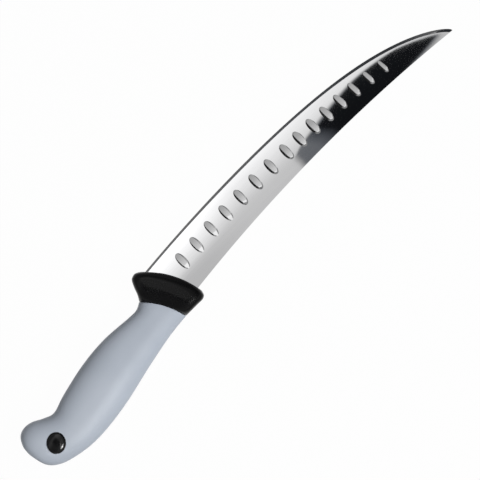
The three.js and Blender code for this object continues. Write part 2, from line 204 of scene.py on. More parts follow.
def section_ring(line: CrossLine, thickness: float, squareness: float, count: int) -> Ring:
    """Rounded section of the handle on a cross line, with evenly spaced points.

    Args:
        line: Line across the handle.
        thickness: Full thickness at the middle of the section.
        squareness: 2 is an ellipse, more is boxier.
        count: Number of points, an even one.

    Returns:
        The points, from the finger side down the left face and back up the right one.
    """
    half = (line.finger - line.palm).length / 2.0
    power = 2.0 / squareness
    fine = 400
    outline = []
    for step in range(fine + 1):
        cosine = math.cos(math.pi * step / fine)
        sine = abs(math.sin(math.pi * step / fine))
        across = math.copysign(abs(cosine) ** power, cosine)
        outline.append(Vector((half * across, thickness / 2.0 * sine**power)))
    lengths = running_lengths(outline)
    left = []
    for step in range(count // 2 + 1):
        index, part = stretch_at(lengths, lengths[-1] * step / (count // 2))
        left.append(outline[index].lerp(outline[index + 1], part))
    right = [Vector((spot.x, -spot.y)) for spot in reversed(left[1:-1])]
    ring = []
    for spot in left + right:
        place = line.at((1.0 + spot.x / half) / 2.0)
        ring.append(Vector((place.x, place.y, spot.y)))
    return ring


# Mesh work


# Angle in degrees above which the edges of moulded pieces stay crisp.
SHARP_ABOVE = 40.0


def mark_crisp(mesh: bmesh.types.BMesh, sharp_above: float) -> None:
    """Smooths all faces, and keeps the edges crisp where they meet at more than an angle in degrees."""
    for face in mesh.faces:
        face.smooth = True
    for edge in mesh.edges:
        if len(edge.link_faces) == 2:
            edge.smooth = edge.calc_face_angle(0.0) <= math.radians(sharp_above)


@dataclass
class Workpiece:
    """Mesh in the making, with the steps that all the pieces share."""

    name: str
    mesh: bmesh.types.BMesh = field(default_factory=bmesh.new)

    def tube(self, rings: Sequence[Ring]) -> list[list[bmesh.types.BMEdge]]:
        """Draws a closed tube through rings, by extruding a circle from ring to ring.

        Args:
            rings: Rings with the same number of points.

        Returns:
            The edges of each ring.
        """
        circle = bmesh.ops.create_circle(self.mesh, cap_ends=False, segments=len(rings[0]), radius=1.0)
        loop = list(circle["verts"])
        edges = list({edge for vert in loop for edge in vert.link_edges})
        self.place(loop, rings[0])
        hoops = [edges]
        for ring in rings[1:]:
            grown = bmesh.ops.extrude_edge_only(self.mesh, edges=edges)["geom"]
            fresh = {item for item in grown if isinstance(item, bmesh.types.BMVert)}
            loop = [self.partner(vert, fresh) for vert in loop]
            edges = [
                item for item in grown
                if isinstance(item, bmesh.types.BMEdge) and all(vert in fresh for vert in item.verts)
            ]
            self.place(loop, ring)
            hoops.append(edges)
        for hoop in (hoops[0], hoops[-1]):
            bmesh.ops.edgeloop_fill(self.mesh, edges=hoop)
        return hoops

    @staticmethod
    def partner(vert: bmesh.types.BMVert, fresh: set[bmesh.types.BMVert]) -> bmesh.types.BMVert:
        """New vertex that was extruded from an old one."""
        return next(edge.other_vert(vert) for edge in vert.link_edges if edge.other_vert(vert) in fresh)

    @staticmethod
    def place(loop: Sequence[bmesh.types.BMVert], ring: Ring) -> None:
        """Moves the vertices of a loop to the points of a ring."""
        for vert, spot in zip(loop, ring):
            vert.co = spot

    def round_over(self, edges: Sequence[bmesh.types.BMEdge], radius: float, segments: int) -> None:
        """Rounds edges over with a small radius."""
        bmesh.ops.bevel(
            self.mesh, geom=list(edges), offset=radius, affect="EDGES",
            segments=segments, profile=0.5, material=-1, clamp_overlap=True,
        )

    def finish(self, datum: Vector, sharp_above: float = SHARP_ABOVE) -> bpy.types.Object:
        """Moves the mesh to its place, smooths its faces and makes the piece.

        Args:
            datum: Place of the side view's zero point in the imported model.
            sharp_above: Angle in degrees above which an edge stays crisp.

        Returns:
            The finished piece, linked to the scene.
        """
        bmesh.ops.translate(self.mesh, verts=self.mesh.verts, vec=datum)
        bmesh.ops.recalc_face_normals(self.mesh, faces=self.mesh.faces)
        mark_crisp(self.mesh, sharp_above)
        data = bpy.data.meshes.new(self.name)
        self.mesh.to_mesh(data)
        self.mesh.free()
        piece = bpy.data.objects.new(self.name, data)
        bpy.context.scene.collection.objects.link(piece)
        return piece


def carve(piece: bpy.types.Object, cutter: bpy.types.Object) -> None:
    """Cuts one shape out of a piece and throws the cutter away.

    Args:
        piece: Piece that is cut.
        cutter: Shape that is taken out of it.
    """
    cut = piece.modifiers.new("cut", "BOOLEAN")
    cut.operation = "DIFFERENCE"
    cut.solver = "EXACT"
    cut.object = cutter
    graph = bpy.context.evaluated_depsgraph_get()
    carved = bpy.data.meshes.new_from_object(piece.evaluated_get(graph))
    carved.name = piece.name
    piece.modifiers.clear()
    old = piece.data
    piece.data = carved
    bpy.data.meshes.remove(old)
    bpy.data.objects.remove(cutter)


def crisp_edges(piece: bpy.types.Object) -> None:
    """Marks the crisp edges of a carved piece again."""
    mesh = bmesh.new()
    mesh.from_mesh(piece.data)
    mark_crisp(mesh, SHARP_ABOVE)
    mesh.to_mesh(piece.data)
    mesh.free()


# Finishes


@dataclass
class NodeBench:
    """Places and links the nodes of one tree."""

    tree: bpy.types.NodeTree

    def add(self, kind: str, **settings: object) -> bpy.types.Node:
        """Adds a node and sets its properties.

        Args:
            kind: Blender's name for the node type.
            settings: Properties of the node.

        Returns:
            The new node.
        """
        node = self.tree.nodes.new(kind)
        for name, value in settings.items():
            setattr(node, name, value)
        return node

    def feed(self, target: Socket, source: Socket | float | Sequence[float]) -> None:
        """Links a socket, or sets it where the source is a plain value."""
        if isinstance(source, bpy.types.NodeSocket):
            self.tree.links.new(source, target)
        else:
            target.default_value = source

    def math(self, operation: str, *values: Socket | float) -> Socket:
        """Adds a Math node.

        Args:
            operation: Blender's name for the operation.
            values: Its one to three inputs.

        Returns:
            The node's output.
        """
        node = self.add("ShaderNodeMath", operation=operation)
        for socket, value in zip(node.inputs, values):
            self.feed(socket, value)
        return node.outputs[0]

    def remap(self, value: Socket, low: float, high: float, to_low: float, to_high: float) -> Socket:
        """Maps a range of a value to another range, clamped at both ends."""
        node = self.add("ShaderNodeMapRange", clamp=True)
        for socket, source in zip(node.inputs, (value, low, high, to_low, to_high)):
            self.feed(socket, source)
        return node.outputs["Result"]

    def blend(self, share: Socket, first: Socket | Colour, second: Socket | Colour) -> Socket:
        """Mixes two colours, each a socket or red, green, blue and alpha."""
        return self.mix("RGBA", share, first, second)

    def pick(self, mask: Socket, first: Socket | float, second: Socket | float) -> Socket:
        """Takes the second value where a mask is 1 and the first one elsewhere."""
        return self.mix("FLOAT", mask, first, second)

    def mix(self, kind: str, share: Socket, *pair: Socket | float | Colour) -> Socket:
        """Adds a Mix node.

        Args:
            kind: Blender's name for the type of data.
            share: Share of the second input.
            pair: The two inputs.

        Returns:
            The node's output.
        """
        node = self.add("ShaderNodeMix", data_type=kind)
        for name, source in zip(("Factor", "A", "B"), (share, *pair)):
            self.feed(node.inputs[name], source)
        return node.outputs["Result"]

    def show_mix(self, output: str, share: Socket, first: Socket, second: Socket) -> None:
        """Shows a mix of two shaders at the output of the tree."""
        node = self.add("ShaderNodeMixShader")
        for socket, source in zip(node.inputs, (share, first, second)):
            self.feed(socket, source)
        self.feed(self.add(output).inputs["Surface"], node.outputs[0])

    def bump(self, height: Socket, distance: float) -> Socket:
        """Adds a bump of full strength and returns its normal."""
        node = self.add("ShaderNodeBump")
        node.inputs["Strength"].default_value = 1.0
        node.inputs["Distance"].default_value = distance
        self.feed(node.inputs["Height"], height)
        return node.outputs["Normal"]

    def noise(self, vector: Socket, scale: Socket | float, detail: float, roughness: float) -> Socket:
        """Adds a noise pattern and returns its value."""
        node = self.add("ShaderNodeTexNoise", noise_dimensions="3D")
        self.feed(node.inputs["Vector"], vector)
        self.feed(node.inputs["Scale"], scale)
        node.inputs["Detail"].default_value = detail
        node.inputs["Roughness"].default_value = roughness
        return node.outputs["Fac"]


class Effect(Enum):
    """Surface effects that more than one finish uses, each made once as a node group."""

    MOULDED = "moulded_texture"
    GROUND = "ground_lines"

    def group(self) -> bpy.types.NodeTree:
        """Node group of the effect, made at its first use."""
        made = bpy.data.node_groups.get(self.value)
        if made:
            return made
        tree = bpy.data.node_groups.new(self.value, "ShaderNodeTree")
        if self is Effect.MOULDED:
            self.build_moulded(tree)
        else:
            self.build_ground(tree)
        return tree

    @staticmethod
    def sockets(tree: bpy.types.NodeTree, inputs: dict[str, float], outputs: Sequence[str]) -> None:
        """Gives a group its named sockets, all of them plain values."""
        for name, value in inputs.items():
            socket = tree.interface.new_socket(name, in_out="INPUT", socket_type="NodeSocketFloat")
            socket.default_value = value
        for name in outputs:
            tree.interface.new_socket(name, in_out="OUTPUT", socket_type="NodeSocketFloat")

    @staticmethod
    def build_moulded(tree: bpy.types.NodeTree) -> None:
        """Fine spark-eroded grain, with slow drifts in tone and gloss."""
        Effect.sockets(tree, {"Grain": 3000.0, "Drift": 40.0}, ("Height", "Tone", "Gloss"))
        bench = NodeBench(tree)
        given = bench.add("NodeGroupInput")
        result = bench.add("NodeGroupOutput")
        spot = bench.add("ShaderNodeTexCoord").outputs["Object"]
        grain = bench.noise(spot, given.outputs["Grain"], 3.0, 0.6)
        tone = bench.noise(spot, given.outputs["Drift"], 3.0, 0.5)
        patches = bench.noise(spot, bench.math("MULTIPLY", given.outputs["Drift"], 5.0), 4.0, 0.6)
        bench.feed(result.inputs["Height"], grain)
        bench.feed(result.inputs["Tone"], bench.remap(tone, 0.3, 0.7, 0.0, 1.0))
        bench.feed(result.inputs["Gloss"], bench.remap(patches, 0.3, 0.7, 0.0, 1.0))

    @staticmethod
    def build_ground(tree: bpy.types.NodeTree) -> None:
        """Fine scratches left by grinding and polishing, long one way and close the other."""
        Effect.sockets(tree, {"Along": 12.0, "Across": 2500.0}, ("Height", "Tone"))
        bench = NodeBench(tree)
        given = bench.add("NodeGroupInput")
        result = bench.add("NodeGroupOutput")
        spot = bench.add("ShaderNodeTexCoord").outputs["Object"]
        stretch = bench.add("ShaderNodeCombineXYZ")
        bench.feed(stretch.inputs["X"], given.outputs["Along"])
        bench.feed(stretch.inputs["Y"], given.outputs["Across"])
        bench.feed(stretch.inputs["Z"], given.outputs["Along"])
        scaled = bench.add("ShaderNodeVectorMath", operation="MULTIPLY")
        bench.feed(scaled.inputs[0], spot)
        bench.feed(scaled.inputs[1], stretch.outputs[0])
        fine = bench.noise(scaled.outputs[0], 1.0, 4.0, 0.65)
        broad = bench.noise(scaled.outputs[0], 0.13, 3.0, 0.6)
        both = bench.math("ADD", bench.math("MULTIPLY", fine, 0.55), bench.math("MULTIPLY", broad, 0.45))
        bench.feed(result.inputs["Height"], fine)
        bench.feed(result.inputs["Tone"], bench.remap(both, 0.32, 0.68, 0.0, 1.0))

    def use(self, bench: NodeBench, **values: float) -> bpy.types.Node:
        """Places the effect in a material with its own values."""
        node = bench.add("ShaderNodeGroup", node_tree=self.group())
        for name, value in values.items():
            node.inputs[name].default_value = value
        return node


def bare_bench(owner: bpy.types.Material | bpy.types.World) -> NodeBench:
    """Empty bench for the nodes of a material or world."""
    owner.use_nodes = True
    owner.node_tree.nodes.clear()
    return NodeBench(owner.node_tree)


def new_material(name: str) -> tuple[bpy.types.Material, NodeBench, bpy.types.Node]:
    """Starts a node material.

    Args:
        name: Name of the material.

    Returns:
        The material, the bench for its nodes, and its shader.
    """
    material = bpy.data.materials.new(name)
    material.use_nodes = True
    bench = NodeBench(material.node_tree)
    shader = next(node for node in bench.tree.nodes if node.type == "BSDF_PRINCIPLED")
    return material, bench, shader


@dataclass(frozen=True)
class MouldedPlastic:
    """Plastic from a spark-eroded mould."""

    name: str
    colour: Colour
    drift_colour: Colour
    roughness_low: float
    roughness_high: float
    specular: float
    grain: float
    grain_height: float
    drift: float

    def material(self) -> bpy.types.Material:
        """Node material of the plastic."""
        material, bench, shader = new_material(self.name)
        surface = Effect.MOULDED.use(bench, Grain=self.grain, Drift=self.drift)
        tone = bench.blend(surface.outputs["Tone"], self.colour, self.drift_colour)
        gloss = bench.remap(surface.outputs["Gloss"], 0.0, 1.0, self.roughness_low, self.roughness_high)
        normal = bench.bump(surface.outputs["Height"], self.grain_height)
        bench.feed(shader.inputs["Base Color"], tone)
        bench.feed(shader.inputs["Roughness"], gloss)
        bench.feed(shader.inputs["Normal"], normal)
        shader.inputs["Specular IOR Level"].default_value = self.specular
        return material


@dataclass(frozen=True)
class GroundSteel:
    """Steel polished along its length, with coarser crosswise lines where it was ground last."""

    name: str
    colour: Colour
    streak_colour: Colour
    polish_low: float
    polish_high: float
    bevel_colour: Colour
    bevel_roughness: float
    hollow_colour: Colour
    hollow_roughness: float
    line_height: float

    def material(self) -> bpy.types.Material:
        """Node material of the steel, which reads the blade's edge_depth and hollow attributes."""
        material, bench, shader = new_material(self.name)
        depth = bench.add("ShaderNodeAttribute", attribute_name="edge_depth").outputs["Fac"]
        hollow = bench.add("ShaderNodeAttribute", attribute_name="hollow").outputs["Fac"]
        on_bevel = bench.math("LESS_THAN", depth, 1.0)
        in_hollow = bench.math("LESS_THAN", hollow, 1.0)
        ground = bench.math("MAXIMUM", on_bevel, in_hollow)
        polish = Effect.GROUND.use(bench, Along=14.0, Across=1600.0)
        cross = Effect.GROUND.use(bench, Along=2400.0, Across=60.0)
        tone = bench.pick(ground, polish.outputs["Tone"], cross.outputs["Tone"])
        height = bench.pick(ground, polish.outputs["Height"], cross.outputs["Height"])
        face = bench.remap(polish.outputs["Tone"], 0.0, 1.0, self.polish_low, self.polish_high)
        rough = bench.pick(in_hollow, face, self.hollow_roughness)
        rough = bench.pick(on_bevel, rough, self.bevel_roughness)
        normal = bench.bump(height, self.line_height)
        colour = bench.blend(tone, self.streak_colour, self.colour)
        colour = bench.blend(in_hollow, colour, self.hollow_colour)
        bench.feed(shader.inputs["Base Color"], bench.blend(on_bevel, colour, self.bevel_colour))
        bench.feed(shader.inputs["Roughness"], rough)
        bench.feed(shader.inputs["Normal"], normal)
        shader.inputs["Metallic"].default_value = 1.0
        return material


@dataclass(frozen=True)
class DrawnSteel:
    """Plain drawn steel of the pins."""

    name: str
    colour: Colour
    streak_colour: Colour
    roughness_low: float
    roughness_high: float

    def material(self) -> bpy.types.Material:
        """Node material of the steel."""
        material, bench, shader = new_material(self.name)
        lines = Effect.GROUND.use(bench, Along=900.0, Across=900.0)
        tone = lines.outputs["Tone"]
        rough = bench.remap(tone, 0.0, 1.0, self.roughness_low, self.roughness_high)
        bench.feed(shader.inputs["Base Color"], bench.blend(tone, self.streak_colour, self.colour))
        bench.feed(shader.inputs["Roughness"], rough)
        shader.inputs["Metallic"].default_value = 1.0
        return material


BLADE_STEEL = GroundSteel(
    name="blade_steel", colour=(0.83, 0.83, 0.835, 1.0), streak_colour=(0.77, 0.77, 0.78, 1.0),
    polish_low=0.03, polish_high=0.045, bevel_colour=(0.36, 0.36, 0.365, 1.0), bevel_roughness=0.18,
    hollow_colour=(0.63, 0.63, 0.635, 1.0), hollow_roughness=0.09, line_height=4.0e-8,
)
COLLAR_PLASTIC = MouldedPlastic(
    name="collar_plastic", colour=(0.0022, 0.0022, 0.0024, 1.0), drift_colour=(0.0030, 0.0030, 0.0033, 1.0),
    roughness_low=0.23, roughness_high=0.29, specular=0.2, grain=2600.0, grain_height=6.0e-6, drift=60.0,
)
GRIP_PLASTIC = MouldedPlastic(
    name="grip_soft", colour=(0.415, 0.458, 0.525, 1.0), drift_colour=(0.445, 0.488, 0.555, 1.0),
    roughness_low=0.46, roughness_high=0.56, specular=0.36, grain=2200.0, grain_height=1.2e-5, drift=45.0,
)
CORE_PLASTIC = MouldedPlastic(
    name="core_plastic", colour=(0.018, 0.019, 0.022, 1.0), drift_colour=(0.024, 0.025, 0.028, 1.0),
    roughness_low=0.50, roughness_high=0.62, specular=0.45, grain=1800.0, grain_height=1.5e-5, drift=50.0,
)
RIVET_PLASTIC = MouldedPlastic(
    name="rivet_plastic", colour=(0.0030, 0.0030, 0.0032, 1.0), drift_colour=(0.0042, 0.0042, 0.0045, 1.0),
    roughness_low=0.11, roughness_high=0.15, specular=0.35, grain=900.0, grain_height=1.5e-6, drift=150.0,
)
PIN_STEEL = DrawnSteel(
    name="pin_steel", colour=(0.52, 0.53, 0.54, 1.0), streak_colour=(0.42, 0.43, 0.44, 1.0),
    roughness_low=0.26, roughness_high=0.38,
)


def dress(piece: bpy.types.Object, finish: MouldedPlastic | GroundSteel | DrawnSteel) -> None:
    """Gives a piece one finish all over."""
    piece.data.materials.clear()
    made = bpy.data.materials.get(finish.name + "_finish")
    if made is None:
        made = finish.material()
        made.name = finish.name + "_finish"
    piece.data.materials.append(made)


def settle(piece: bpy.types.Object, node: str) -> None:
    """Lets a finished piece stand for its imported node.

    Args:
        piece: Finished piece.
        node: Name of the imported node.
    """
    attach(piece, BODY)
    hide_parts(node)
    LOG.info("%s: %d faces, stands for %s", piece.name, len(piece.data.polygons), node)


# Handle


# Sizes by which the rivet is placed in the grip.
GRIP_LENGTH = 0.1186
RIVET_SETBACK = 0.0159
RIVET_DROP = 0.0077
RIVET_RIM_SINK = 0.0005
RIVET_SEAT_SINK = 0.0006


@dataclass(frozen=True)
class Seam:
    """Line at which collar and grip meet, and the handle's section there."""

    palm_setback: float = 0.011
    palm_drop: float = 0.0088
    finger_setback: float = 0.0243
    finger_rise: float = 0.0157
    bow: float = 0.0021
    thickness: float = 0.0176
    squareness: float = 2.7
    gap: float = 0.00025
    wall: float = 0.0032
    spigot: float = 0.003
    edge_radius: float = 0.0003

    def line(self) -> CrossLine:
        """The seam in the side view."""
        palm = Vector((-self.palm_setback, -self.palm_drop))
        finger = Vector((-self.finger_setback, self.finger_rise))
        return CrossLine(palm, finger, self.bow)


@dataclass
class Collar:
    """Black collar with a finger guard, between blade and grip."""

    datum: Vector
    seam: Seam
    thickness: float = 0.022
    crown: float = 0.00015
    shoulder: float = 0.017
    squareness: float = 7.0
    squaring: float = 2.0
    palm_break: float = 0.0034
    palm_break_slope: float = 0.4
    palm_round: float = 0.0014
    flare_end: float = 0.5
    shoulder_start: float = 7 / 12
    shoulder_chamfer: float = 0.6
    guard_setback: float = 0.0156
    guard_cover: float = 0.004
    guard_fall: float = 0.0014
    front_reach: float = 0.0052
    front_setback: float = 0.0121
    front_bow: float = 0.0033
    corner_length: float = 0.0031
    corner_height: float = 0.0038
    rim_radius: float = 0.0009
    pocket_depth: float = 0.005
    stations: int = 48
    points: int = 96

    def guard_top(self, edge: Callable[[float], float]) -> Vector:
        """Top of the finger guard, over the blade's edge."""
        return Vector((-self.guard_setback, edge(-self.guard_setback) + self.guard_cover))

    def front(self, edge: Callable[[float], float]) -> CrossLine:
        """Front line of the collar.

        Args:
            edge: Height of the blade's edge at a place along the knife.

        Returns:
            The line in the side view.
        """
        palm = Vector((self.front_reach, self.corner_height - self.seam.palm_drop))
        finger = Vector((-self.front_setback, self.guard_top(edge).y - self.guard_fall))
        return CrossLine(palm, finger, self.front_bow)

    def sides(self, edge: Callable[[float], float]) -> tuple[SmoothLine, SmoothLine]:
        """Finger side and palm side of the collar, from the seam to the front."""
        seam, front, top = self.seam.line(), self.front(edge), self.guard_top(edge)
        corner = Vector((self.front_reach - self.corner_length, -self.seam.palm_drop))
        climb = ((0.24, 0.26), (0.42, 0.58), (0.67, 0.9))
        finger = [seam.finger, *(between(seam.finger, top, *stop) for stop in climb), top]
        finger += [between(top, front.finger, 0.55, 0.3), front.finger]
        palm = [seam.palm, *(between(seam.palm, corner, way, 0.0) for way in (0.25, 0.5, 0.75)), corner]
        palm += [between(corner, front.palm, 0.7, 0.3), front.palm]
        return SmoothLine(finger), SmoothLine(palm)

    def ring(self, share: float, finger: SmoothLine, palm: SmoothLine) -> Ring:
        """Section of the collar at a share of its length.

        Args:
            share: 0 at the seam, 1 at the front.
            finger: Finger side of the collar.
            palm: Palm side of the collar.

        Returns:
            The section's points, flattened to the collar's thickness.
        """
        flare = math.sin(math.pi / 2.0 * min(1.0, share / self.flare_end))
        full = self.thickness + 2.0 * self.crown
        turn = max(0.0, (share - self.shoulder_start) / (1.0 - self.shoulder_start))
        drop = mix(1.0 - math.sqrt(1.0 - turn**2), turn, self.shoulder_chamfer)
        width = mix(self.seam.thickness, full, flare) - (full - self.shoulder) * drop
        line = CrossLine(palm.at(share), finger.at(share), mix(self.seam.bow, self.front_bow, share))
        squareness = mix(self.seam.squareness, self.squareness, min(1.0, self.squaring * flare))
        spots = section_ring(line, width, squareness, self.points)
        for spot in spots:
            rise = spot.y + self.seam.palm_drop
            fall = self.palm_break_slope * max(0.0, self.palm_break - rise)
            fall += self.palm_round * max(0.0, 1.0 - rise / self.palm_round) ** 2
            room = min(self.thickness, width) / 2.0 - fall
            spot.z = max(-room, min(room, spot.z))
        return spots

    def build(self, blade: "Blade") -> bpy.types.Object:
        """Makes the collar, hollow for the handle's core and cut out for the blade's heel.

        Args:
            blade: The blade that goes into the collar.

        Returns:
            The finished piece.
        """
        finger, palm = self.sides(blade.edge)
        line, inset = self.seam.line(), self.seam.wall - self.seam.gap
        narrow = self.seam.thickness - 2.0 * inset
        socket = [
            section_ring(line.drawn_in(inset).moved(step), narrow, self.seam.squareness, self.points)
            for step in (self.seam.spigot + self.seam.gap, 0.0)
        ]
        body = [self.ring(step / self.stations, finger, palm) for step in range(self.stations + 1)]
        work = Workpiece("collar_dressed")
        hoops = work.tube([*socket, *body])
        work.round_over(hoops[-1], self.rim_radius, 4)
        work.round_over([edge for edge in hoops[2] if edge.is_valid], self.seam.edge_radius, 2)
        piece = work.finish(self.datum)
        carve(piece, blade.pocket_cutter(self.heel(blade.edge), self.seam.gap))
        crisp_edges(piece)
        return piece

    def heel(self, edge: Callable[[float], float]) -> CrossLine:
        """Line at which the blade's heel ends inside the collar."""
        return self.front(edge).moved(-self.pocket_depth)


@dataclass
class Grip:
    """Soft blue-grey grip, moulded over the core."""

    datum: Vector
    seam: Seam
    length: float = GRIP_LENGTH
    neck_way: float = 0.105
    belly_way: float = 0.282
    waist_way: float = 0.7465
    beak_way: float = 0.917
    swell_way: float = 0.75
    neck_rise: float = 0.0134
    belly_rise: float = 0.0146
    waist_rise: float = 0.0053
    beak_rise: float = 0.0112
    palm_swell: float = 0.0226
    butt_drop: float = 0.0015
    neck_thickness: float = 0.0174
    belly_thickness: float = 0.022
    waist_thickness: float = 0.0204
    pommel_thickness: float = 0.020
    butt_rounding: float = 0.16
    core_end: float = 0.0115
    stations: int = 130
    core_stations: int = 24
    crowding: float = 1.7
    points: int = 96
    finger_side: SmoothLine = field(init=False)
    palm_side: SmoothLine = field(init=False)

    def __post_init__(self) -> None:
        """Draws the two sides of the grip, from the seam to the butt."""
        seam, butt = self.seam.line(), self.butt
        neck = Vector((mix(seam.finger.x, butt.x, self.neck_way), self.neck_rise))
        belly = Vector((mix(seam.finger.x, butt.x, self.belly_way), self.belly_rise))
        waist = Vector((mix(seam.finger.x, butt.x, self.waist_way), self.waist_rise))
        beak = Vector((mix(seam.finger.x, butt.x, self.beak_way), self.beak_rise))
        swell = Vector((mix(seam.palm.x, butt.x, self.swell_way), -self.palm_swell))
        self.finger_side = SmoothLine([
            seam.finger,
            between(seam.finger, neck, 0.42, 1.0),
            neck,
            belly,
            between(belly, waist, 0.38, 0.18),
            between(belly, waist, 0.78, 0.65),
            waist,
            between(waist, beak, 0.38, 0.35),
            between(waist, beak, 0.7, 0.85),
            beak,
            between(beak, butt, 0.55, 0.14),
            between(beak, butt, 0.91, 0.54),
            butt,
        ])
        self.palm_side = SmoothLine([
            seam.palm,
            between(seam.palm, swell, 0.16, 0.11),
            between(seam.palm, swell, 0.38, 0.385),
            between(seam.palm, swell, 0.64, 0.77),
            between(seam.palm, swell, 0.84, 0.965),
            swell,
            between(swell, butt, 0.44, 0.095),
            between(swell, butt, 0.745, 0.26),
            between(swell, butt, 0.92, 0.526),
            butt,
        ])

    @property
    def butt(self) -> Vector:
        """Rearmost point of the knife."""
        return Vector((-self.seam.palm_setback - self.length, -self.butt_drop))

    def line(self, share: float) -> CrossLine:
        """Line across the grip at a share of its length."""
        bow = self.seam.bow * (1.0 - share) ** 3
        return CrossLine(self.palm_side.walk(share), self.finger_side.walk(share), bow)

    def thickness(self, share: float) -> float:
        """Thickness of the grip at a share of its length."""
        stops = (
            (0.0, self.seam.thickness), (0.1, self.neck_thickness), (0.45, self.belly_thickness),
            (0.7, self.waist_thickness), (0.82, self.pommel_thickness), (1.0, self.pommel_thickness),
        )
        width = stops[-1][1]
        for (start, thin), (end, thick) in zip(stops, stops[1:]):
            if start <= share <= end:
                width = mix(thin, thick, ease((share - start) / (end - start)))
                break
        turn = max(0.0, 1.0 - (1.0 - share) / self.butt_rounding)
        return width * math.sqrt(1.0 - turn * turn)

    def section(self, share: float, inset: float = 0.0) -> Ring:
        """Section of the grip at a share of its length, drawn in by an inset."""
        line = self.line(share).drawn_in(inset)
        return section_ring(line, self.thickness(share) - 2.0 * inset, self.seam.squareness, self.points)

    def share_at(self, x: float) -> float:
        """Share of the grip's length at which the middle of its section has a given x."""
        low, high = 0.0, 1.0
        while high - low > 1e-6:
            middle = (low + high) / 2.0
            if self.line(middle).at(0.5).x > x:
                low = middle
            else:
                high = middle
        return low

    def build(self, rivet: "ButtRivet") -> bpy.types.Object:
        """Makes the grip as a soft wall round the core, with the holes for the rivet's heads.

        Args:
            rivet: The rivet at the butt.

        Returns:
            The finished piece.
        """
        inset = self.seam.wall - self.seam.gap
        start = self.line(0.0).moved(-self.seam.gap)
        core_share = self.share_at(rivet.centre.x - self.core_end)
        inside = [
            self.section(core_share * step / self.core_stations, inset)
            for step in range(self.core_stations, 0, -1)
        ]
        square, thick = self.seam.squareness, self.seam.thickness
        rims = [
            section_ring(start.drawn_in(draw), thick - 2.0 * draw, square, self.points)
            for draw in (inset, 0.0)
        ]
        outside = [
            self.section(1.0 - (1.0 - step / self.stations) ** self.crowding)
            for step in range(1, self.stations)
        ]
        work = Workpiece("grip_dressed")
        hoops = work.tube([*inside, *rims, *outside])
        work.round_over(hoops[len(inside) + 1], self.seam.edge_radius, 2)
        piece = work.finish(self.datum)
        for side in Side:
            carve(piece, rivet.hole_cutter(side))
        crisp_edges(piece)
        return piece


class Side(Enum):
    """The two sides of the knife."""

    LEFT = 1
    RIGHT = -1


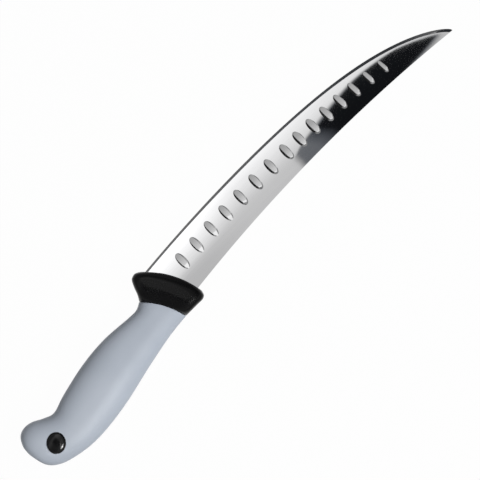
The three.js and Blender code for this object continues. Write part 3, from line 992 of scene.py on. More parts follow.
@dataclass
class ButtRivet:
    """Two-part rivet through the butt, with an oval domed head on each side."""

    datum: Vector
    centre: Vector
    rim_height: float
    seat_height: float
    head_length: float = 0.012
    head_width: float = 0.0107
    head_turn: float = 45.0
    dome: float = 0.0013
    shank_radius: float = 0.003
    bore_radius: float = 0.0018
    bore_roof: float = 0.0012
    gap: float = 0.00025
    sides: int = 64
    dome_steps: int = 14
    hole_depth: float = 0.02

    def seat(self, mesh: bmesh.types.BMesh, side: Side) -> None:
        """Turns a shape to its side and angle, and sets it at the butt.

        Args:
            mesh: Shape turned about the z axis.
            side: Side of the knife.
        """
        if side is Side.RIGHT:
            bmesh.ops.rotate(mesh, verts=mesh.verts, matrix=Matrix.Rotation(math.pi, 3, "X"))
        turn = Matrix.Rotation(math.radians(self.head_turn), 3, "Z")
        bmesh.ops.rotate(mesh, verts=mesh.verts, matrix=turn)
        bmesh.ops.translate(mesh, verts=mesh.verts, vec=(self.centre.x, self.centre.y, 0.0))

    def turn_profile(self, work: Workpiece, profile: Sequence[Vector]) -> None:
        """Spins a profile about the rivet's axis into a closed shape."""
        verts = [work.mesh.verts.new(spot) for spot in profile]
        edges = [work.mesh.edges.new(pair) for pair in zip(verts, verts[1:])]
        bmesh.ops.spin(
            work.mesh, geom=[*verts, *edges], axis=(0.0, 0.0, 1.0), cent=(0.0, 0.0, 0.0),
            angle=2.0 * math.pi, steps=self.sides, use_merge=True, use_duplicate=False,
        )
        bmesh.ops.remove_doubles(work.mesh, verts=work.mesh.verts, dist=1e-7)

    def build(self, side: Side) -> bpy.types.Object:
        """Makes one half of the rivet: the post on the left, or the cap on the right.

        Args:
            side: Side of the knife.

        Returns:
            The finished piece.
        """
        half = self.head_length / 2.0
        head = [Vector((half, 0.0, self.seat_height))]
        for step in range(self.dome_steps):
            angle = math.pi / 2.0 * step / self.dome_steps
            height = self.rim_height + self.dome * math.sin(angle)
            head.append(Vector((half * math.cos(angle), 0.0, height)))
        head.append(Vector((0.0, 0.0, self.rim_height + self.dome)))
        if side is Side.LEFT:
            end, roof = -self.seat_height + self.gap, self.seat_height - self.bore_roof
            shank = [
                Vector((0.0, 0.0, roof)), Vector((self.bore_radius, 0.0, roof)),
                Vector((self.bore_radius, 0.0, end)), Vector((self.shank_radius, 0.0, end)),
                Vector((self.shank_radius, 0.0, self.seat_height)),
            ]
        else:
            end = -self.seat_height + self.bore_roof + self.gap
            reach = self.bore_radius - self.gap
            shank = [
                Vector((0.0, 0.0, end)), Vector((reach, 0.0, end)), Vector((reach, 0.0, self.seat_height)),
            ]
        work = Workpiece("butt_rivet_post_dressed" if side is Side.LEFT else "butt_rivet_cap_dressed")
        self.turn_profile(work, [*shank, *head])
        for vert in work.mesh.verts:
            if vert.co.z >= self.seat_height - 1e-7 and vert.co.xy.length > self.shank_radius + 1e-6:
                vert.co.y *= self.head_width / self.head_length
        self.seat(work.mesh, side)
        return work.finish(self.datum)

    def hole_cutter(self, side: Side) -> bpy.types.Object:
        """Oval that cuts the hole for one head into the grip.

        Args:
            side: Side of the knife.

        Returns:
            The cutter.
        """
        work = Workpiece("head_hole")
        bmesh.ops.create_cone(
            work.mesh, cap_ends=True, segments=self.sides, radius1=1.0, radius2=1.0, depth=self.hole_depth,
            matrix=Matrix.Translation((0.0, 0.0, self.seat_height - self.gap + self.hole_depth / 2.0)),
        )
        oval = (self.head_length / 2.0 + self.gap, self.head_width / 2.0 + self.gap, 1.0)
        bmesh.ops.scale(work.mesh, verts=work.mesh.verts, vec=oval)
        self.seat(work.mesh, side)
        return work.finish(self.datum)


# Blade


# Values of the blade's attributes where they don't apply, and how near to 1 counts as on a line.
FAR_FROM_EDGE = 9.0
OUTSIDE_HOLLOW = 2.0
ON_LINE = 1e-5


class Zone(Enum):
    """Strips of a blade face, from its edge to its spine."""

    BEVEL = 0
    SHOULDER = 1
    HOLLOWS = 2
    RUN_OUT = 3
    BAND = 4


@dataclass(frozen=True)
class Hollow:
    """One ground hollow: its place, half sizes and section, and the cell of the grid that holds it."""

    x: float
    depth: float
    half_width: float
    half_length: float
    tilt: float
    run_out: float
    start: float
    end: float
    fall: float = 0.10
    cup: float = 0.035
    lift: float = 0.33
    wall: float = 0.5
    blend: float = 0.04
    rim_blend: float = 0.03
    roundness: float = 2.15

    def rim(self, angle: float) -> tuple[float, float]:
        """Point of the outline at an angle, in half widths and half lengths."""
        power = 2.0 / self.roundness
        across, along = math.cos(angle), math.sin(angle)
        return math.copysign(abs(across) ** power, across), math.copysign(abs(along) ** power, along)

    def dish(self, x: float, depth: float) -> float:
        """Depth of the hollow at a point.

        Args:
            x: Place along the blade.
            depth: Depth from the edge.

        Returns:
            The smallest of a cupped floor, which rises towards edge and point, the walls, and the run-out
            to the spine.
        """
        along = (depth - self.depth) / self.half_length
        chord = max(0.0, 1.0 - abs(along) ** self.roundness) ** (1.0 / self.roundness)
        across = (x - self.x) / self.half_width
        if abs(across) >= chord:
            return 0.0
        floor = self.half_length * (self.fall - self.cup * (1.0 + along)) * (1.0 + along)
        floor += self.half_width * self.tilt * (self.lift - across)
        end = self.half_length * (self.run_out if along > 0.0 else self.wall) * (1.0 - abs(along))
        side = self.half_width * self.wall * (chord - abs(across))
        floor = soft_min(floor, end, self.half_width * self.blend)
        return soft_min(floor, side, self.half_width * self.rim_blend)


@dataclass(frozen=True)
class Column:
    """One line of the grid across a blade face."""

    x: float
    hollow: Hollow | None = None
    way: float = 0.0


@dataclass
class Blade:
    """Curved steel blade, hollow ground in a row on both faces, with its tang."""

    datum: Vector
    length: float = 0.210
    height: float = 0.02895
    narrowing: float = 0.287
    point_fullness: float = 6.0
    point_roundness: float = 0.756
    tip_height: float = 0.0006
    spine_at_collar: float = -0.0029
    spine_at_tip: float = -0.001
    spine_bow: float = 0.0058
    stock: float = 0.0025
    tip_stock: float = 0.0012
    bevel_heel_width: float = 0.0013
    bevel_width: float = 0.0015
    bevel_point_width: float = 0.00168
    bevel_heel_run: Run = (0.0, 0.06)
    bevel_point_run: Run = (0.12, 0.04)
    bevel_stock: float = 0.00085
    grind_width: float = 0.020
    spine_crown: float = 0.00015
    hollow_length: float = 0.0108
    hollow_width: float = 0.005
    hollow_tilt: float = 0.132
    hollow_heel_run_out: float = 0.165
    hollow_run_out: float = 0.45
    tilt_run: Run = (0.02, 0.06)
    run_out_run: Run = (0.045, 0.05)
    hollow_setback: float = 0.0121
    hollow_first: float = 0.0094
    hollow_pitch: float = 0.0122
    hollow_point_pitch: float = 0.0104
    hollow_straight_run: float = 0.094
    hollow_full_height: float = 0.024
    hollow_least_height: float = 0.017
    hollow_rise: float = 0.405
    hollow_foot: float = 0.00275
    hollow_shortening: float = 0.26
    hollow_thinning: float = 0.44
    tang_height: float = 0.013
    bevel_most: float = 0.2
    shoulder_least: float = 0.1
    hollows_most: float = 0.8
    grind_most: float = 0.9
    cell_margin: float = 1.2
    rim_ring: float = 0.8
    cell_steps: int = 30
    gap_steps: int = 5
    heel_steps: int = 10
    tip_steps: int = 70
    tip_crowding: float = 1.5
    crown_shares: tuple[float, ...] = (0.25, 0.5, 0.75)
    sharp_above: float = 30.0

    def spine(self, x: float) -> float:
        """Height of the spine in the side view."""
        share = x / self.length
        bow = 4.0 * self.spine_bow * share * (1.0 - share)
        return mix(self.spine_at_collar, self.spine_at_tip, share) + bow

    def tall(self, x: float) -> float:
        """Height of the blade from spine to edge."""
        share = x / self.length
        turn_in = max(0.0, 1.0 - max(0.0, share) ** self.point_fullness) ** self.point_roundness
        return self.tip_height + (self.height - self.tip_height) * (1.0 - self.narrowing * share) * turn_in

    def edge(self, x: float) -> float:
        """Height of the cutting edge in the side view."""
        return self.spine(x) + self.tall(x)

    def lean(self, x: float) -> float:
        """Cosine of the edge's slope."""
        step = 0.0005
        ahead = min(self.length, x + step)
        return math.cos(math.atan((self.edge(ahead) - self.edge(x - step)) / (ahead - x + step)))

    def bevel(self, x: float) -> float:
        """Width of the edge bevel, which grows a little from heel to point."""
        width = mix(self.bevel_heel_width, self.bevel_width, ease_over(x, self.bevel_heel_run))
        return mix(width, self.bevel_point_width, ease_over(x, self.bevel_point_run))

    def half(self, x: float, depth: float) -> float:
        """Half of the blade's thickness at a depth square to the edge."""
        bevel = self.bevel(x)
        if depth <= bevel:
            return self.bevel_stock * depth / bevel / 2.0
        spine = mix(self.stock, self.tip_stock, max(0.0, x / self.length))
        rise = min(1.0, (depth - bevel) / (self.grind_width - bevel))
        return mix(self.bevel_stock, spine, rise * (2.0 - rise)) / 2.0

    def hollow(self, x: float) -> Hollow:
        """Hollow that the blade has, or would have, at a place along it."""
        tall = self.tall(x)
        span = self.hollow_full_height - self.hollow_least_height
        fade = min(1.0, max(0.0, (self.hollow_full_height - tall) / span))
        half_width = self.hollow_width * (1.0 - self.hollow_thinning * fade) / 2.0
        half_length = self.hollow_length * (1.0 - self.hollow_shortening * fade) / 2.0
        sized = max(tall, self.hollow_least_height)
        depth = min(self.hollow_setback, sized * (1.0 - self.hollow_rise) - self.hollow_foot)
        depth *= self.lean(x) * tall / sized
        reach = half_width * self.cell_margin
        tilt = self.hollow_tilt * ease_over(x, self.tilt_run)
        run_out = mix(self.hollow_heel_run_out, self.hollow_run_out, ease_over(x, self.run_out_run))
        return Hollow(x, depth, half_width, half_length, tilt, run_out, x - reach, x + reach)

    def hollows(self, side: Side) -> list[Hollow]:
        """Hollows of one face, those of the right face half a step further on."""
        x = self.hollow_first + (0.0 if side is Side.LEFT else self.hollow_pitch / 2.0)
        found = []
        while self.tall(x) >= self.hollow_least_height:
            found.append(self.hollow(x))
            x += self.hollow_pitch if x < self.hollow_straight_run else self.hollow_point_pitch
        return found

    def columns(self, side: Side, count: int) -> list[Column]:
        """Lines of one face's grid, from the heel to the tip.

        Args:
            side: Face of the blade.
            count: Number of lines.

        Returns:
            The lines, with the hollow that each one crosses.
        """
        hollows = self.hollows(side)
        first = hollows[0].start
        lines = [Column(mix(0.0, first, step / self.heel_steps)) for step in range(self.heel_steps)]
        for index, hollow in enumerate(hollows):
            for step in range(self.cell_steps + 1):
                way = 2.0 * step / self.cell_steps - 1.0
                lines.append(Column(mix(hollow.start, hollow.end, step / self.cell_steps), hollow, way))
            if index + 1 < len(hollows):
                ahead = hollows[index + 1].start
                gap = range(1, self.gap_steps)
                lines += [Column(mix(hollow.end, ahead, step / self.gap_steps)) for step in gap]
        rest = count - len(lines)
        lines += [
            Column(mix(hollows[-1].end, self.length, 1.0 - (1.0 - step / rest) ** self.tip_crowding))
            for step in range(1, rest + 1)
        ]
        return lines

    def rows(self) -> list[tuple[Zone, float]]:
        """Rows of one face's grid from edge to spine, each with its share of its strip."""
        steps = {
            Zone.BEVEL: 3, Zone.SHOULDER: 6, Zone.HOLLOWS: self.cell_steps, Zone.RUN_OUT: 4, Zone.BAND: 5,
        }
        rows = [(Zone.BEVEL, 0.0)]
        for zone, count in steps.items():
            rows += [(zone, step / count) for step in range(1, count + 1)]
        return rows

    def limits(self, x: float) -> list[float]:
        """Depths at which the strips of a face start and end.

        Args:
            x: Place along the blade.

        Returns:
            The six depths, from the edge to the spine.
        """
        reach = self.tall(x) * self.lean(x)
        bevel = min(self.bevel(x), self.bevel_most * reach)
        hollow = self.hollow(x)
        room = hollow.half_length * self.cell_margin * min(1.0, reach / self.hollow_least_height)
        start = bevel + max(self.shoulder_least * (reach - bevel), hollow.depth - room - bevel)
        end = min(hollow.depth + room, self.hollows_most * reach)
        return [0.0, bevel, start, end, min(self.grind_width, self.grind_most * reach), reach]

    def depth(self, x: float, zone: Zone, share: float) -> float:
        """Depth from the edge of a row at a place along the blade."""
        limits = self.limits(x)
        return mix(limits[zone.value], limits[zone.value + 1], share)

    def on_face(self, column: Column, common: float, zone: Zone, share: float) -> Place:
        """Place of a grid point on a face.

        Args:
            column: Line of the face's own grid.
            common: Place of the line that both faces share at edge and spine.
            zone: Strip of the face.
            share: Share of the strip.

        Returns:
            Place along the blade, depth from the edge, and radius in a hollow, where 1 is its rim.
        """
        own = {Zone.SHOULDER: ease(share), Zone.HOLLOWS: 1.0, Zone.RUN_OUT: ease(1.0 - share)}
        x = mix(common, column.x, own.get(zone, 0.0))
        if zone is not Zone.HOLLOWS or column.hollow is None:
            return x, self.depth(x, zone, share), OUTSIDE_HOLLOW
        hollow, across, along = column.hollow, column.way, 2.0 * share - 1.0
        ring = max(abs(across), abs(along))
        if ring == 0.0:
            return hollow.x, hollow.depth, 0.0
        if abs(across) >= abs(along):
            angle = math.pi / 4.0 * along / across + (math.pi if across < 0.0 else 0.0)
        else:
            angle = math.pi / 2.0 - math.pi / 4.0 * across / along + (math.pi if along < 0.0 else 0.0)
        radius = min(1.0, ring / self.rim_ring)
        out, down = hollow.rim(angle)
        x = hollow.x + hollow.half_width * radius * out
        depth = hollow.depth + hollow.half_length * radius * down
        if ring <= self.rim_ring:
            return x, depth, radius
        outward = (ring - self.rim_ring) / (1.0 - self.rim_ring)
        corner_x = mix(hollow.start, hollow.end, (across / ring + 1.0) / 2.0)
        corner_depth = self.depth(corner_x, zone, (along / ring + 1.0) / 2.0)
        return mix(x, corner_x, outward), mix(depth, corner_depth, outward), 1.0 + outward

    def build(self, heel: CrossLine, tang: "Tang") -> bpy.types.Object:
        """Makes the blade from one grid that wraps round both faces, the spine and the tang.

        Args:
            heel: Line at which the blade's heel ends inside the collar.
            tang: The tang's line inside the handle.

        Returns:
            The finished piece.
        """
        count = self.heel_steps + self.tip_steps
        count += len(self.hollows(Side.LEFT)) * (self.cell_steps + self.gap_steps)
        left, right = self.columns(Side.LEFT, count), self.columns(Side.RIGHT, count)
        middles = [(one.x + other.x) / 2.0 for one, other in zip(left, right)]
        rows = self.rows()
        tang_places = tang.places()
        wide = len(tang_places) + count - 1
        high = 2 * len(rows) + len(self.crown_shares) - 1
        work = Workpiece("blade_dressed")
        bmesh.ops.create_grid(work.mesh, x_segments=wide, y_segments=high, size=1.0)
        depth_layer = work.mesh.verts.layers.float.new("edge_depth")
        hollow_layer = work.mesh.verts.layers.float.new("hollow")
        for vert in work.mesh.verts:
            i = round((vert.co.x + 1.0) / 2.0 * wide)
            j = round((vert.co.y + 1.0) / 2.0 * high)
            side = Side.LEFT if j < len(rows) else Side.RIGHT
            row = j if side is Side.LEFT else high - j
            depth, radius = FAR_FROM_EDGE, OUTSIDE_HOLLOW
            column = i - len(tang_places)
            if column < 0:
                vert.co = tang.point(tang_places[i], row, len(rows), j, high, heel)
            elif row >= len(rows):
                share = self.crown_shares[j - len(rows)]
                vert.co = self.crown_point(column, middles[column], share, heel)
            else:
                own = left[column] if side is Side.LEFT else right[column]
                x, depth, radius = self.on_face(own, middles[column], *rows[row])
                if column < self.heel_steps:
                    for _ in range(3):
                        y = self.edge(x) - self.depth(x, *rows[row]) / self.lean(x)
                        x = self.toward_heel(column, middles[column], y, heel)
                    depth = self.depth(x, *rows[row])
                z = self.half(x, depth)
                if own.hollow and radius < 1.0:
                    z -= own.hollow.dish(x, depth)
                vert.co = (x, self.edge(x) - depth / self.lean(x), z * side.value)
                depth /= self.limits(x)[1]
            vert[depth_layer] = depth
            vert[hollow_layer] = radius
        bmesh.ops.remove_doubles(work.mesh, verts=work.mesh.verts, dist=2e-8)
        open_edges = [edge for edge in work.mesh.edges if edge.is_boundary]
        bmesh.ops.holes_fill(work.mesh, edges=open_edges, sides=0)
        piece = work.finish(self.datum, self.sharp_above)
        self.crisp_rims(piece)
        return piece

    def crown_point(self, column: int, middle: float, share: float, heel: CrossLine) -> Vector:
        """Place of a grid point on the slightly rounded spine.

        Args:
            column: Number of the grid's line, from the heel.
            middle: Place along the blade of that line.
            share: Share of the way from the left face to the right one.
            heel: Line at which the blade's heel ends.

        Returns:
            The point in the side view.
        """
        x = self.toward_heel(column, middle, self.spine(middle), heel)
        y = self.spine(x) - self.spine_crown * (1.0 - (2.0 * share - 1.0) ** 2)
        return Vector((x, y, self.half(x, self.tall(x) * self.lean(x)) * (1.0 - 2.0 * share)))

    def toward_heel(self, column: int, x: float, y: float, heel: CrossLine) -> float:
        """Place along the blade of a line near the heel, which slants with the collar."""
        if column >= self.heel_steps:
            return x
        return mix(heel.x_at(y), self.hollow(self.hollow_first).start, column / self.heel_steps)

    def crisp_rims(self, piece: bpy.types.Object) -> None:
        """Keeps the rims of the hollows and the line behind the edge bevel crisp."""
        mesh = bmesh.new()
        mesh.from_mesh(piece.data)
        depth = mesh.verts.layers.float["edge_depth"]
        hollow = mesh.verts.layers.float["hollow"]
        for edge in mesh.edges:
            on_rim = all(abs(vert[hollow] - 1.0) < ON_LINE for vert in edge.verts)
            on_bevel = all(abs(vert[depth] - 1.0) < ON_LINE for vert in edge.verts)
            if on_rim or on_bevel:
                edge.smooth = False
        mesh.to_mesh(piece.data)
        mesh.free()

    def pocket_cutter(self, heel: CrossLine, gap: float) -> bpy.types.Object:
        """Shape that cuts the pocket for the blade's heel into the collar.

        Args:
            heel: Line at which the blade's heel ends.
            gap: Clearance all round the blade.

        Returns:
            The cutter.
        """
        ahead, guess = 0.014, -0.006
        shares = (0.0, 0.05, 0.25, 0.5, 0.75, 1.0)
        rings = []
        for place in (None, ahead):
            faces = []
            for share in shares:
                x = guess if place is None else place
                for _ in range(4 if place is None else 0):
                    y = self.edge(x) - share * self.tall(x)
                    x = heel.moved(-gap).x_at(y)
                edge, spine = self.edge(x) + gap, self.spine(x) - gap
                depth = share * self.tall(x) * self.lean(x)
                faces.append(Vector((x, mix(edge, spine, share), self.half(x, depth) + gap)))
            mirrored = [Vector((spot.x, spot.y, -spot.z)) for spot in reversed(faces)]
            rings.append([*faces, *mirrored])
        work = Workpiece("blade_pocket")
        work.tube(rings)
        return work.finish(self.datum)


@dataclass
class Tang:
    """Straight strip of the blade's steel inside the handle, round at its end."""

    root: Vector
    end: Vector
    height: float
    stock: float
    root_sink: float = 0.001

    def places(self) -> list[float]:
        """Places of the tang's grid lines, as distances from its root, from end to root."""
        half = self.height / 2.0
        length = (self.end - self.root).length
        round_end = [length + half * math.cos(math.radians(angle)) for angle in (8, 25, 45, 65, 80)]
        return [*round_end, length, length * 2 / 3, length / 3, length / 5, 0.0]

    def point(self, place: float, row: int, rows: int, j: int, high: int, heel: CrossLine) -> Vector:
        """Place of a grid point on the tang.

        Args:
            place: Distance from the tang's root.
            row: Row of the face, from the edge side.
            rows: Number of rows of a face.
            j: Row of the whole grid.
            high: Last row of the whole grid.
            heel: Line at which the blade's heel ends.

        Returns:
            The point in the side view.
        """
        direction = (self.end - self.root).normalized()
        upward = Vector((direction.y, -direction.x))
        length = (self.end - self.root).length
        half = self.height / 2.0
        if place > length:
            half = math.sqrt(max(0.0, half**2 - (place - length) ** 2))
        down = min(1.0, max(0.0, (row - 1) / (rows - 2)))
        spot = self.root + direction * place + upward * half * (1.0 - 2.0 * down)
        if place == 0.0:
            spot = Vector((heel.x_at(spot.y) - self.root_sink, spot.y))
        if j == 0 or j == high:
            z = 0.0
        elif row >= rows:
            z = self.stock / 2.0 * (1.0 - 2.0 * (j - rows + 1) / (high - 2 * rows + 2))
        else:
            z = self.stock / 2.0 * (1.0 if j < rows else -1.0)
        return Vector((spot.x, spot.y, z))


# Studio


@dataclass
class SoftRoof:
    """Graded white card above the knife, with a dark gap over the point, seen only in its gloss."""

    datum: Vector
    height: float = 0.35
    along: Span = (-0.45, 0.42)
    across: Span = (-0.17, 0.32)
    rise: tuple[Ramp, ...] = ((-0.06, 0.02, 0.46, 0.69), (0.02, 0.04, 0.0, 0.18), (0.04, 0.08, 0.0, 0.34))
    beyond_shift: Ramp = (-0.05, 0.0, 0.0, 0.04)
    beyond_fade: Ramp = (0.12, 0.15, 1.0, 0.02)
    butt_front: Ramp = (-0.09, -0.05, 0.08, 1.0)
    butt_rear: Ramp = (-0.19, -0.15, 0.6, 0.08)
    butt_edge: Ramp = (0.04, 0.08, 0.08, 0.6)
    heel_fade: Ramp = (0.02, 0.06, 1.0, 0.0)
    heel_change: Ramp = (0.004, 0.024, -0.10, 0.15)
    strip_start: float = 0.165
    strip_heel: Ramp = (0.0, 0.2, 0.38, 0.07)
    strip_point: Ramp = (0.29, 0.36, 0.0, 0.63)
    dusk_fade: Ramp = (0.0, 0.3, 0.0, 1.0)
    gap_centre: tuple[float, float] = (0.169, 0.006)
    gap_heel_half: float = 0.0645
    gap_point_half: float = 0.074
    gap_half_height: float = 0.0382
    gap_heel_roundness: float = 1.8
    gap_point_roundness: float = 1.4
    gap_slant: float = 0.3
    gap_least: Ramp = (0.1215, 0.138, 0.24, 0.011)
    gap_start: Ramp = (0.112, 0.130, 0.99, 0.84)
    gap_point_start: Ramp = (0.15, 0.20, 0.0, 0.175)
    gap_end: Ramp = (0.15, 0.20, 1.06, 1.04)
    gap_drawn_in: Ramp = (0.206, 0.224, 0.0, 0.045)
    gap_heel_end: Ramp = (0.1035, 0.1105, 1.0, 0.0)
    low_slope: float = 0.28
    low_place: tuple[float, float] = (0.222, 0.012)
    low_fade: Ramp = (-0.004, 0.002, 0.88, 0.0)
    low_begin: Ramp = (0.195, 0.205, 0.0, 1.0)
    outside_fade: Ramp = (1.7, 2.0, 0.0, 1.0)
    outside_begin: Ramp = (0.12, 0.20, 0.0, 1.0)
    outside_point: Ramp = (0.242, 0.252, 0.0, 1.0)
    outside_level: Ramp = (0.0, 1.0, 1.0, 0.02)
    dusk: Colour = (0.86, 0.96, 1.14, 1.0)
    daylight: Colour = (1.0, 1.0, 1.0, 1.0)

    def build(self) -> None:
        """Hangs the card and hides it from the camera and from soft light."""
        work = Workpiece("studio_roof")
        bmesh.ops.create_grid(work.mesh, x_segments=1, y_segments=1, size=0.5)
        low, high = Vector((self.along[0], self.across[0])), Vector((self.along[1], self.across[1]))
        bmesh.ops.scale(work.mesh, verts=work.mesh.verts, vec=(high.x - low.x, high.y - low.y, 1.0))
        middle = (low + high) / 2.0
        roof = work.finish(self.datum + Vector((middle.x, middle.y, self.height)))
        roof.visible_camera = False
        roof.visible_diffuse = False
        roof.visible_shadow = False
        roof.data.materials.append(self.material())

    def material(self) -> bpy.types.Material:
        """Emission of the card: paler towards the edge side, dark in the gap and dim over the butt."""
        material = bpy.data.materials.new("studio_roof_white")
        bench = bare_bench(material)
        spot = bench.add("ShaderNodeSeparateXYZ")
        bench.feed(spot.inputs[0], bench.add("ShaderNodeTexCoord").outputs["Object"])
        along = bench.math("SUBTRACT", spot.outputs["X"], self.datum.x)
        across = bench.math("SUBTRACT", spot.outputs["Y"], self.datum.y)
        level = bench.math("MULTIPLY", self.grade(bench, along, across), self.gap(bench, along, across))
        level = bench.math("MULTIPLY", level, self.over_butt(bench, along, across))
        heel = bench.remap(along, *self.heel_fade)
        heel = bench.math("MULTIPLY", heel, bench.remap(across, *self.heel_change))
        level = bench.math("MULTIPLY_ADD", level, heel, level)
        strip = bench.remap(along, *self.strip_heel)
        strip = bench.math("ADD", strip, bench.remap(along, *self.strip_point))
        strip = bench.math("MULTIPLY", bench.math("GREATER_THAN", across, self.strip_start), strip)
        level = bench.math("MAXIMUM", level, strip)
        glow = bench.add("ShaderNodeEmission")
        day = bench.remap(level, *self.dusk_fade)
        bench.feed(glow.inputs["Color"], bench.blend(day, self.dusk, self.daylight))
        bench.feed(glow.inputs["Strength"], level)
        output = bench.add("ShaderNodeOutputMaterial")
        bench.feed(output.inputs["Surface"], glow.outputs[0])
        return material

    def grade(self, bench: NodeBench, along: Socket, across: Socket) -> Socket:
        """Brightness of the card without its gap, which rises towards the edge side."""
        low, middle, high = (bench.remap(across, *ramp) for ramp in self.rise)
        level = bench.math("ADD", bench.math("ADD", low, middle), high)
        beyond = bench.math("SUBTRACT", across, bench.remap(along, *self.beyond_shift))
        return bench.math("MULTIPLY", level, bench.remap(beyond, *self.beyond_fade))

    def over_butt(self, bench: NodeBench, along: Socket, across: Socket) -> Socket:
        """Share of the brightness that is left over the butt, where the card is dim in its middle."""
        kept = bench.remap(along, *self.butt_front)
        kept = bench.math("MAXIMUM", kept, bench.remap(along, *self.butt_rear))
        return bench.math("MAXIMUM", kept, bench.remap(across, *self.butt_edge))

    def gap(self, bench: NodeBench, along: Socket, across: Socket) -> Socket:
        """Share of the brightness that the dark gap leaves.

        Args:
            bench: Bench of the card's tree.
            along: Place along the knife.
            across: Place across the knife.

        Returns:
            A factor from nearly 0, in the gap, to 1.
        """
        wide = bench.math("SUBTRACT", along, self.gap_centre[0])
        tall = bench.math("SUBTRACT", across, self.gap_centre[1])
        point = bench.math("GREATER_THAN", wide, 0.0)
        half = bench.remap(point, 0.0, 1.0, self.gap_heel_half, self.gap_point_half)
        power = bench.remap(point, 0.0, 1.0, self.gap_heel_roundness, self.gap_point_roundness)
        parts = [
            bench.math("POWER", bench.math("ABSOLUTE", bench.math("DIVIDE", part, size)), power)
            for part, size in ((wide, half), (tall, self.gap_half_height))
        ]
        radius = bench.math("POWER", bench.math("ADD", *parts), bench.math("DIVIDE", 1.0, power))
        slanted = bench.math("MULTIPLY_ADD", tall, self.gap_slant, along)
        least = bench.remap(slanted, *self.gap_least)
        opened = bench.add("ShaderNodeMapRange", clamp=True, interpolation_type="SMOOTHSTEP")
        drawn_in = bench.remap(along, *self.gap_drawn_in)
        start = bench.remap(along, *self.gap_start)
        start = bench.math("ADD", start, bench.remap(along, *self.gap_point_start))
        start = bench.math("SUBTRACT", start, drawn_in)
        end = bench.math("SUBTRACT", bench.remap(along, *self.gap_end), drawn_in)
        for socket, source in zip(opened.inputs, (radius, start, end, 0.0, 1.0)):
            bench.feed(socket, source)
        heel_end = bench.remap(along, *self.gap_heel_end)
        kept = bench.math("MAXIMUM", bench.math("MAXIMUM", opened.outputs["Result"], heel_end), least)
        low_start = self.low_place[1] - self.low_place[0] * self.low_slope
        low_line = bench.math("MULTIPLY_ADD", along, self.low_slope, low_start)
        below = bench.remap(bench.math("SUBTRACT", across, low_line), *self.low_fade)
        below = bench.math("MULTIPLY", below, bench.remap(along, *self.low_begin))
        outside = bench.remap(radius, *self.outside_fade)
        outside = bench.math("MULTIPLY", outside, bench.remap(along, *self.outside_begin))
        outside = bench.math("MAXIMUM", outside, bench.remap(along, *self.outside_point))
        kept = bench.math("MAXIMUM", kept, below)
        return bench.math("MULTIPLY", kept, bench.remap(outside, *self.outside_level))


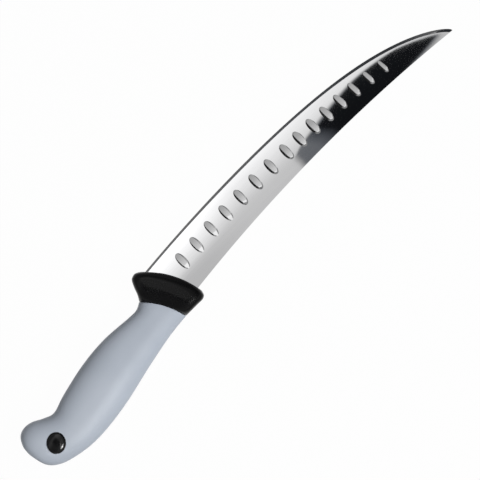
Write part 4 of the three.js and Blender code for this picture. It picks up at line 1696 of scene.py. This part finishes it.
@dataclass
class Studio:
    """White floor, graded walls, soft light from the palm side and a camera straight above the knife."""

    datum: Vector
    picture_pixels: float = 480.0
    pixel: float = 0.000567
    aim: tuple[float, float] = (0.04082, 0.0)
    distance: float = 2.5
    turn: float = -45.0
    sensor: float = 36.0
    floor_size: float = 4.0
    floor_drop: float = 0.0002
    floor_grey: Colour = (0.45, 0.45, 0.45, 1.0)
    floor_white: float = 0.98
    fill: float = 0.3
    wall_level: float = 0.03
    heel_wall_level: float = 0.45
    palm_wall_level: float = 0.9
    least_up: float = 0.05
    dark_part: Span = (0.1, 0.5)
    dark_sides: Span = (0.45, 0.85)
    palm_start: Span = (-0.85, -0.65)
    palm_end: Ramp = (-1.5, -1.2, 0.05, 1.0)
    horizon_fade: Ramp = (0.2, 0.45, 0.9, 0.0)
    horizon_palm: Ramp = (-0.6, -0.2, 0.3, 1.0)
    key_watts: float = 12.6
    key_size: Span = (1.2, 0.45)
    key_place: Place = (0.27, -0.6, 0.95)
    key_target: Place = (-0.02, 0.0, 0.0)
    spark_watts: float = 0.08
    spark_spread: float = 30.0
    spark_size: float = 0.13
    spark_place: Place = (-0.07, -0.153, 0.36)
    spark_target: Place = (-0.1137, -0.0077, 0.0)

    def camera(self) -> None:
        """Sets the camera above the knife, square to the blade and turned as in the picture."""
        data = bpy.data.cameras.new("camera")
        width = self.picture_pixels * self.pixel
        data.sensor_width = self.sensor
        data.lens = self.sensor * self.distance / width
        camera = bpy.data.objects.new("camera", data)
        camera.location = self.datum + Vector((self.aim[0], self.aim[1], self.distance))
        camera.rotation_euler = (0.0, 0.0, math.radians(self.turn))
        bpy.context.scene.collection.objects.link(camera)
        bpy.context.scene.camera = camera

    def seen_rays(self, bench: NodeBench) -> Socket:
        """Mask that is 1 for rays that show the studio: to the camera, in gloss and through glass."""
        path = bench.add("ShaderNodeLightPath")
        seen = bench.math("MAXIMUM", path.outputs["Is Camera Ray"], path.outputs["Is Glossy Ray"])
        return bench.math("MAXIMUM", seen, path.outputs["Is Transmission Ray"])

    def floor(self) -> None:
        """Lays the white floor under the knife."""
        work = Workpiece("studio_floor")
        bmesh.ops.create_grid(work.mesh, x_segments=8, y_segments=8, size=self.floor_size)
        floor = work.finish(Vector((0.0, 0.0, -self.floor_drop)))
        material = bpy.data.materials.new("studio_white")
        bench = bare_bench(material)
        paint = bench.add("ShaderNodeBsdfDiffuse")
        paint.inputs["Color"].default_value = self.floor_grey
        glow = bench.add("ShaderNodeEmission")
        white = bench.math("MULTIPLY", self.seen_rays(bench), self.floor_white)
        bench.show_mix("ShaderNodeOutputMaterial", white, paint.outputs[0], glow.outputs[0])
        floor.data.materials.append(material)

    def world(self) -> None:
        """Surrounds the knife with grey walls, dark beyond its point, and fills its shadows evenly."""
        world = bpy.data.worlds.new("studio_walls")
        bpy.context.scene.world = world
        bench = bare_bench(world)
        ray = bench.add("ShaderNodeSeparateXYZ")
        bench.feed(ray.inputs[0], bench.add("ShaderNodeTexCoord").outputs["Generated"])
        up = bench.math("MAXIMUM", ray.outputs["Z"], self.least_up)
        across = bench.math("DIVIDE", ray.outputs["Y"], up)
        along = bench.math("DIVIDE", ray.outputs["X"], up)
        plain_wall = bench.remap(along, *self.dark_part, self.heel_wall_level, self.wall_level)
        aside = bench.remap(bench.math("ABSOLUTE", across), *self.dark_sides, 0.0, self.heel_wall_level)
        plain_wall = bench.math("MAXIMUM", plain_wall, aside)
        palm_wall = bench.remap(across, *self.palm_start, self.palm_wall_level, 0.0)
        palm_wall = bench.math("MULTIPLY", palm_wall, bench.remap(across, *self.palm_end))
        horizon = bench.remap(ray.outputs["Z"], *self.horizon_fade)
        horizon = bench.math("MULTIPLY", horizon, bench.remap(ray.outputs["Y"], *self.horizon_palm))
        walls = bench.add("ShaderNodeBackground")
        level = bench.math("MAXIMUM", bench.math("MAXIMUM", palm_wall, plain_wall), horizon)
        bench.feed(walls.inputs["Strength"], level)
        plain = bench.add("ShaderNodeBackground")
        plain.inputs["Strength"].default_value = self.fill
        bench.show_mix("ShaderNodeOutputWorld", self.seen_rays(bench), plain.outputs[0], walls.outputs[0])

    def lamps(self) -> None:
        """Hangs the soft key lamp on the palm side, and a small one that sparkles in the rivet."""
        data = bpy.data.lights.new("key_lamp", "AREA")
        data.shape = "RECTANGLE"
        data.size, data.size_y = self.key_size
        data.energy = self.key_watts
        key = self.hang(data, Vector(self.key_place), Vector(self.key_target))
        key.visible_glossy = False
        spark = bpy.data.lights.new("spark_lamp", "AREA")
        spark.shape = "DISK"
        spark.size = self.spark_size
        spark.energy = self.spark_watts
        spark.spread = math.radians(self.spark_spread)
        glint = self.hang(spark, Vector(self.spark_place), Vector(self.spark_target))
        glint.visible_diffuse = False

    def hang(self, data: bpy.types.Light, place: Vector, target: Vector) -> bpy.types.Object:
        """Hangs a lamp at a place of the knife's side view and aims it at another.

        Args:
            data: The lamp's settings.
            place: Where the lamp hangs.
            target: Where the lamp points.

        Returns:
            The lamp.
        """
        lamp = bpy.data.objects.new(data.name, data)
        lamp.location = self.datum + place
        lamp.rotation_euler = (target - place).to_track_quat("-Z", "Y").to_euler()
        bpy.context.scene.collection.objects.link(lamp)
        return lamp

    def build(self) -> None:
        """Sets up the whole studio."""
        self.camera()
        self.floor()
        self.world()
        self.lamps()
        SoftRoof(self.datum).build()
        settings = bpy.context.scene.view_settings
        settings.view_transform = "Standard"


def middle_of(node: str) -> Vector:
    """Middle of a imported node's box."""
    low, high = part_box(node)
    return (low + high) / 2.0


def main() -> None:
    """Builds and dresses every piece of the knife, then the studio."""
    logging.basicConfig(level=logging.INFO, format="%(name)s: %(message)s")
    seam = Seam()
    rivet_centre = Vector((-seam.palm_setback - GRIP_LENGTH + RIVET_SETBACK, -RIVET_DROP))
    rivet_place = middle_of("butt_rivet_post")
    datum = Vector((rivet_place.x - rivet_centre.x, rivet_place.y - rivet_centre.y, middle_of("blade").z))
    grip = Grip(datum, seam)
    surface = grip.thickness(grip.share_at(rivet_centre.x)) / 2.0
    rivet = ButtRivet(datum, rivet_centre, surface - RIVET_RIM_SINK, surface - seam.wall - RIVET_SEAT_SINK)
    blade = Blade(datum)
    collar = Collar(datum, seam)
    neck = grip.line(grip.share_at(mix(seam.line().finger.x, grip.butt.x, grip.neck_way))).at(0.5)
    slope = (neck.y - rivet_centre.y) / (neck.x - rivet_centre.x)
    root = Vector((0.0, rivet_centre.y - slope * rivet_centre.x))
    tang = Tang(root, rivet_centre, blade.tang_height, blade.stock)

    dressed = (
        (blade.build(collar.heel(blade.edge), tang), "blade", BLADE_STEEL),
        (collar.build(blade), "collar", COLLAR_PLASTIC),
        (grip.build(rivet), "grip", GRIP_PLASTIC),
        (rivet.build(Side.LEFT), "butt_rivet_post", RIVET_PLASTIC),
        (rivet.build(Side.RIGHT), "butt_rivet_cap", RIVET_PLASTIC),
    )
    for piece, node, finish in dressed:
        dress(piece, finish)
        settle(piece, node)
    kept = {
        "core_left": CORE_PLASTIC, "core_right": CORE_PLASTIC,
        "tang_pin_front": PIN_STEEL, "tang_pin_rear": PIN_STEEL,
    }
    for node, finish in kept.items():
        dress(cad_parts[node], finish)
        LOG.info("%s keeps its packed shape", node)
    Studio(datum).build()


if __name__ == "__main__":
    main()
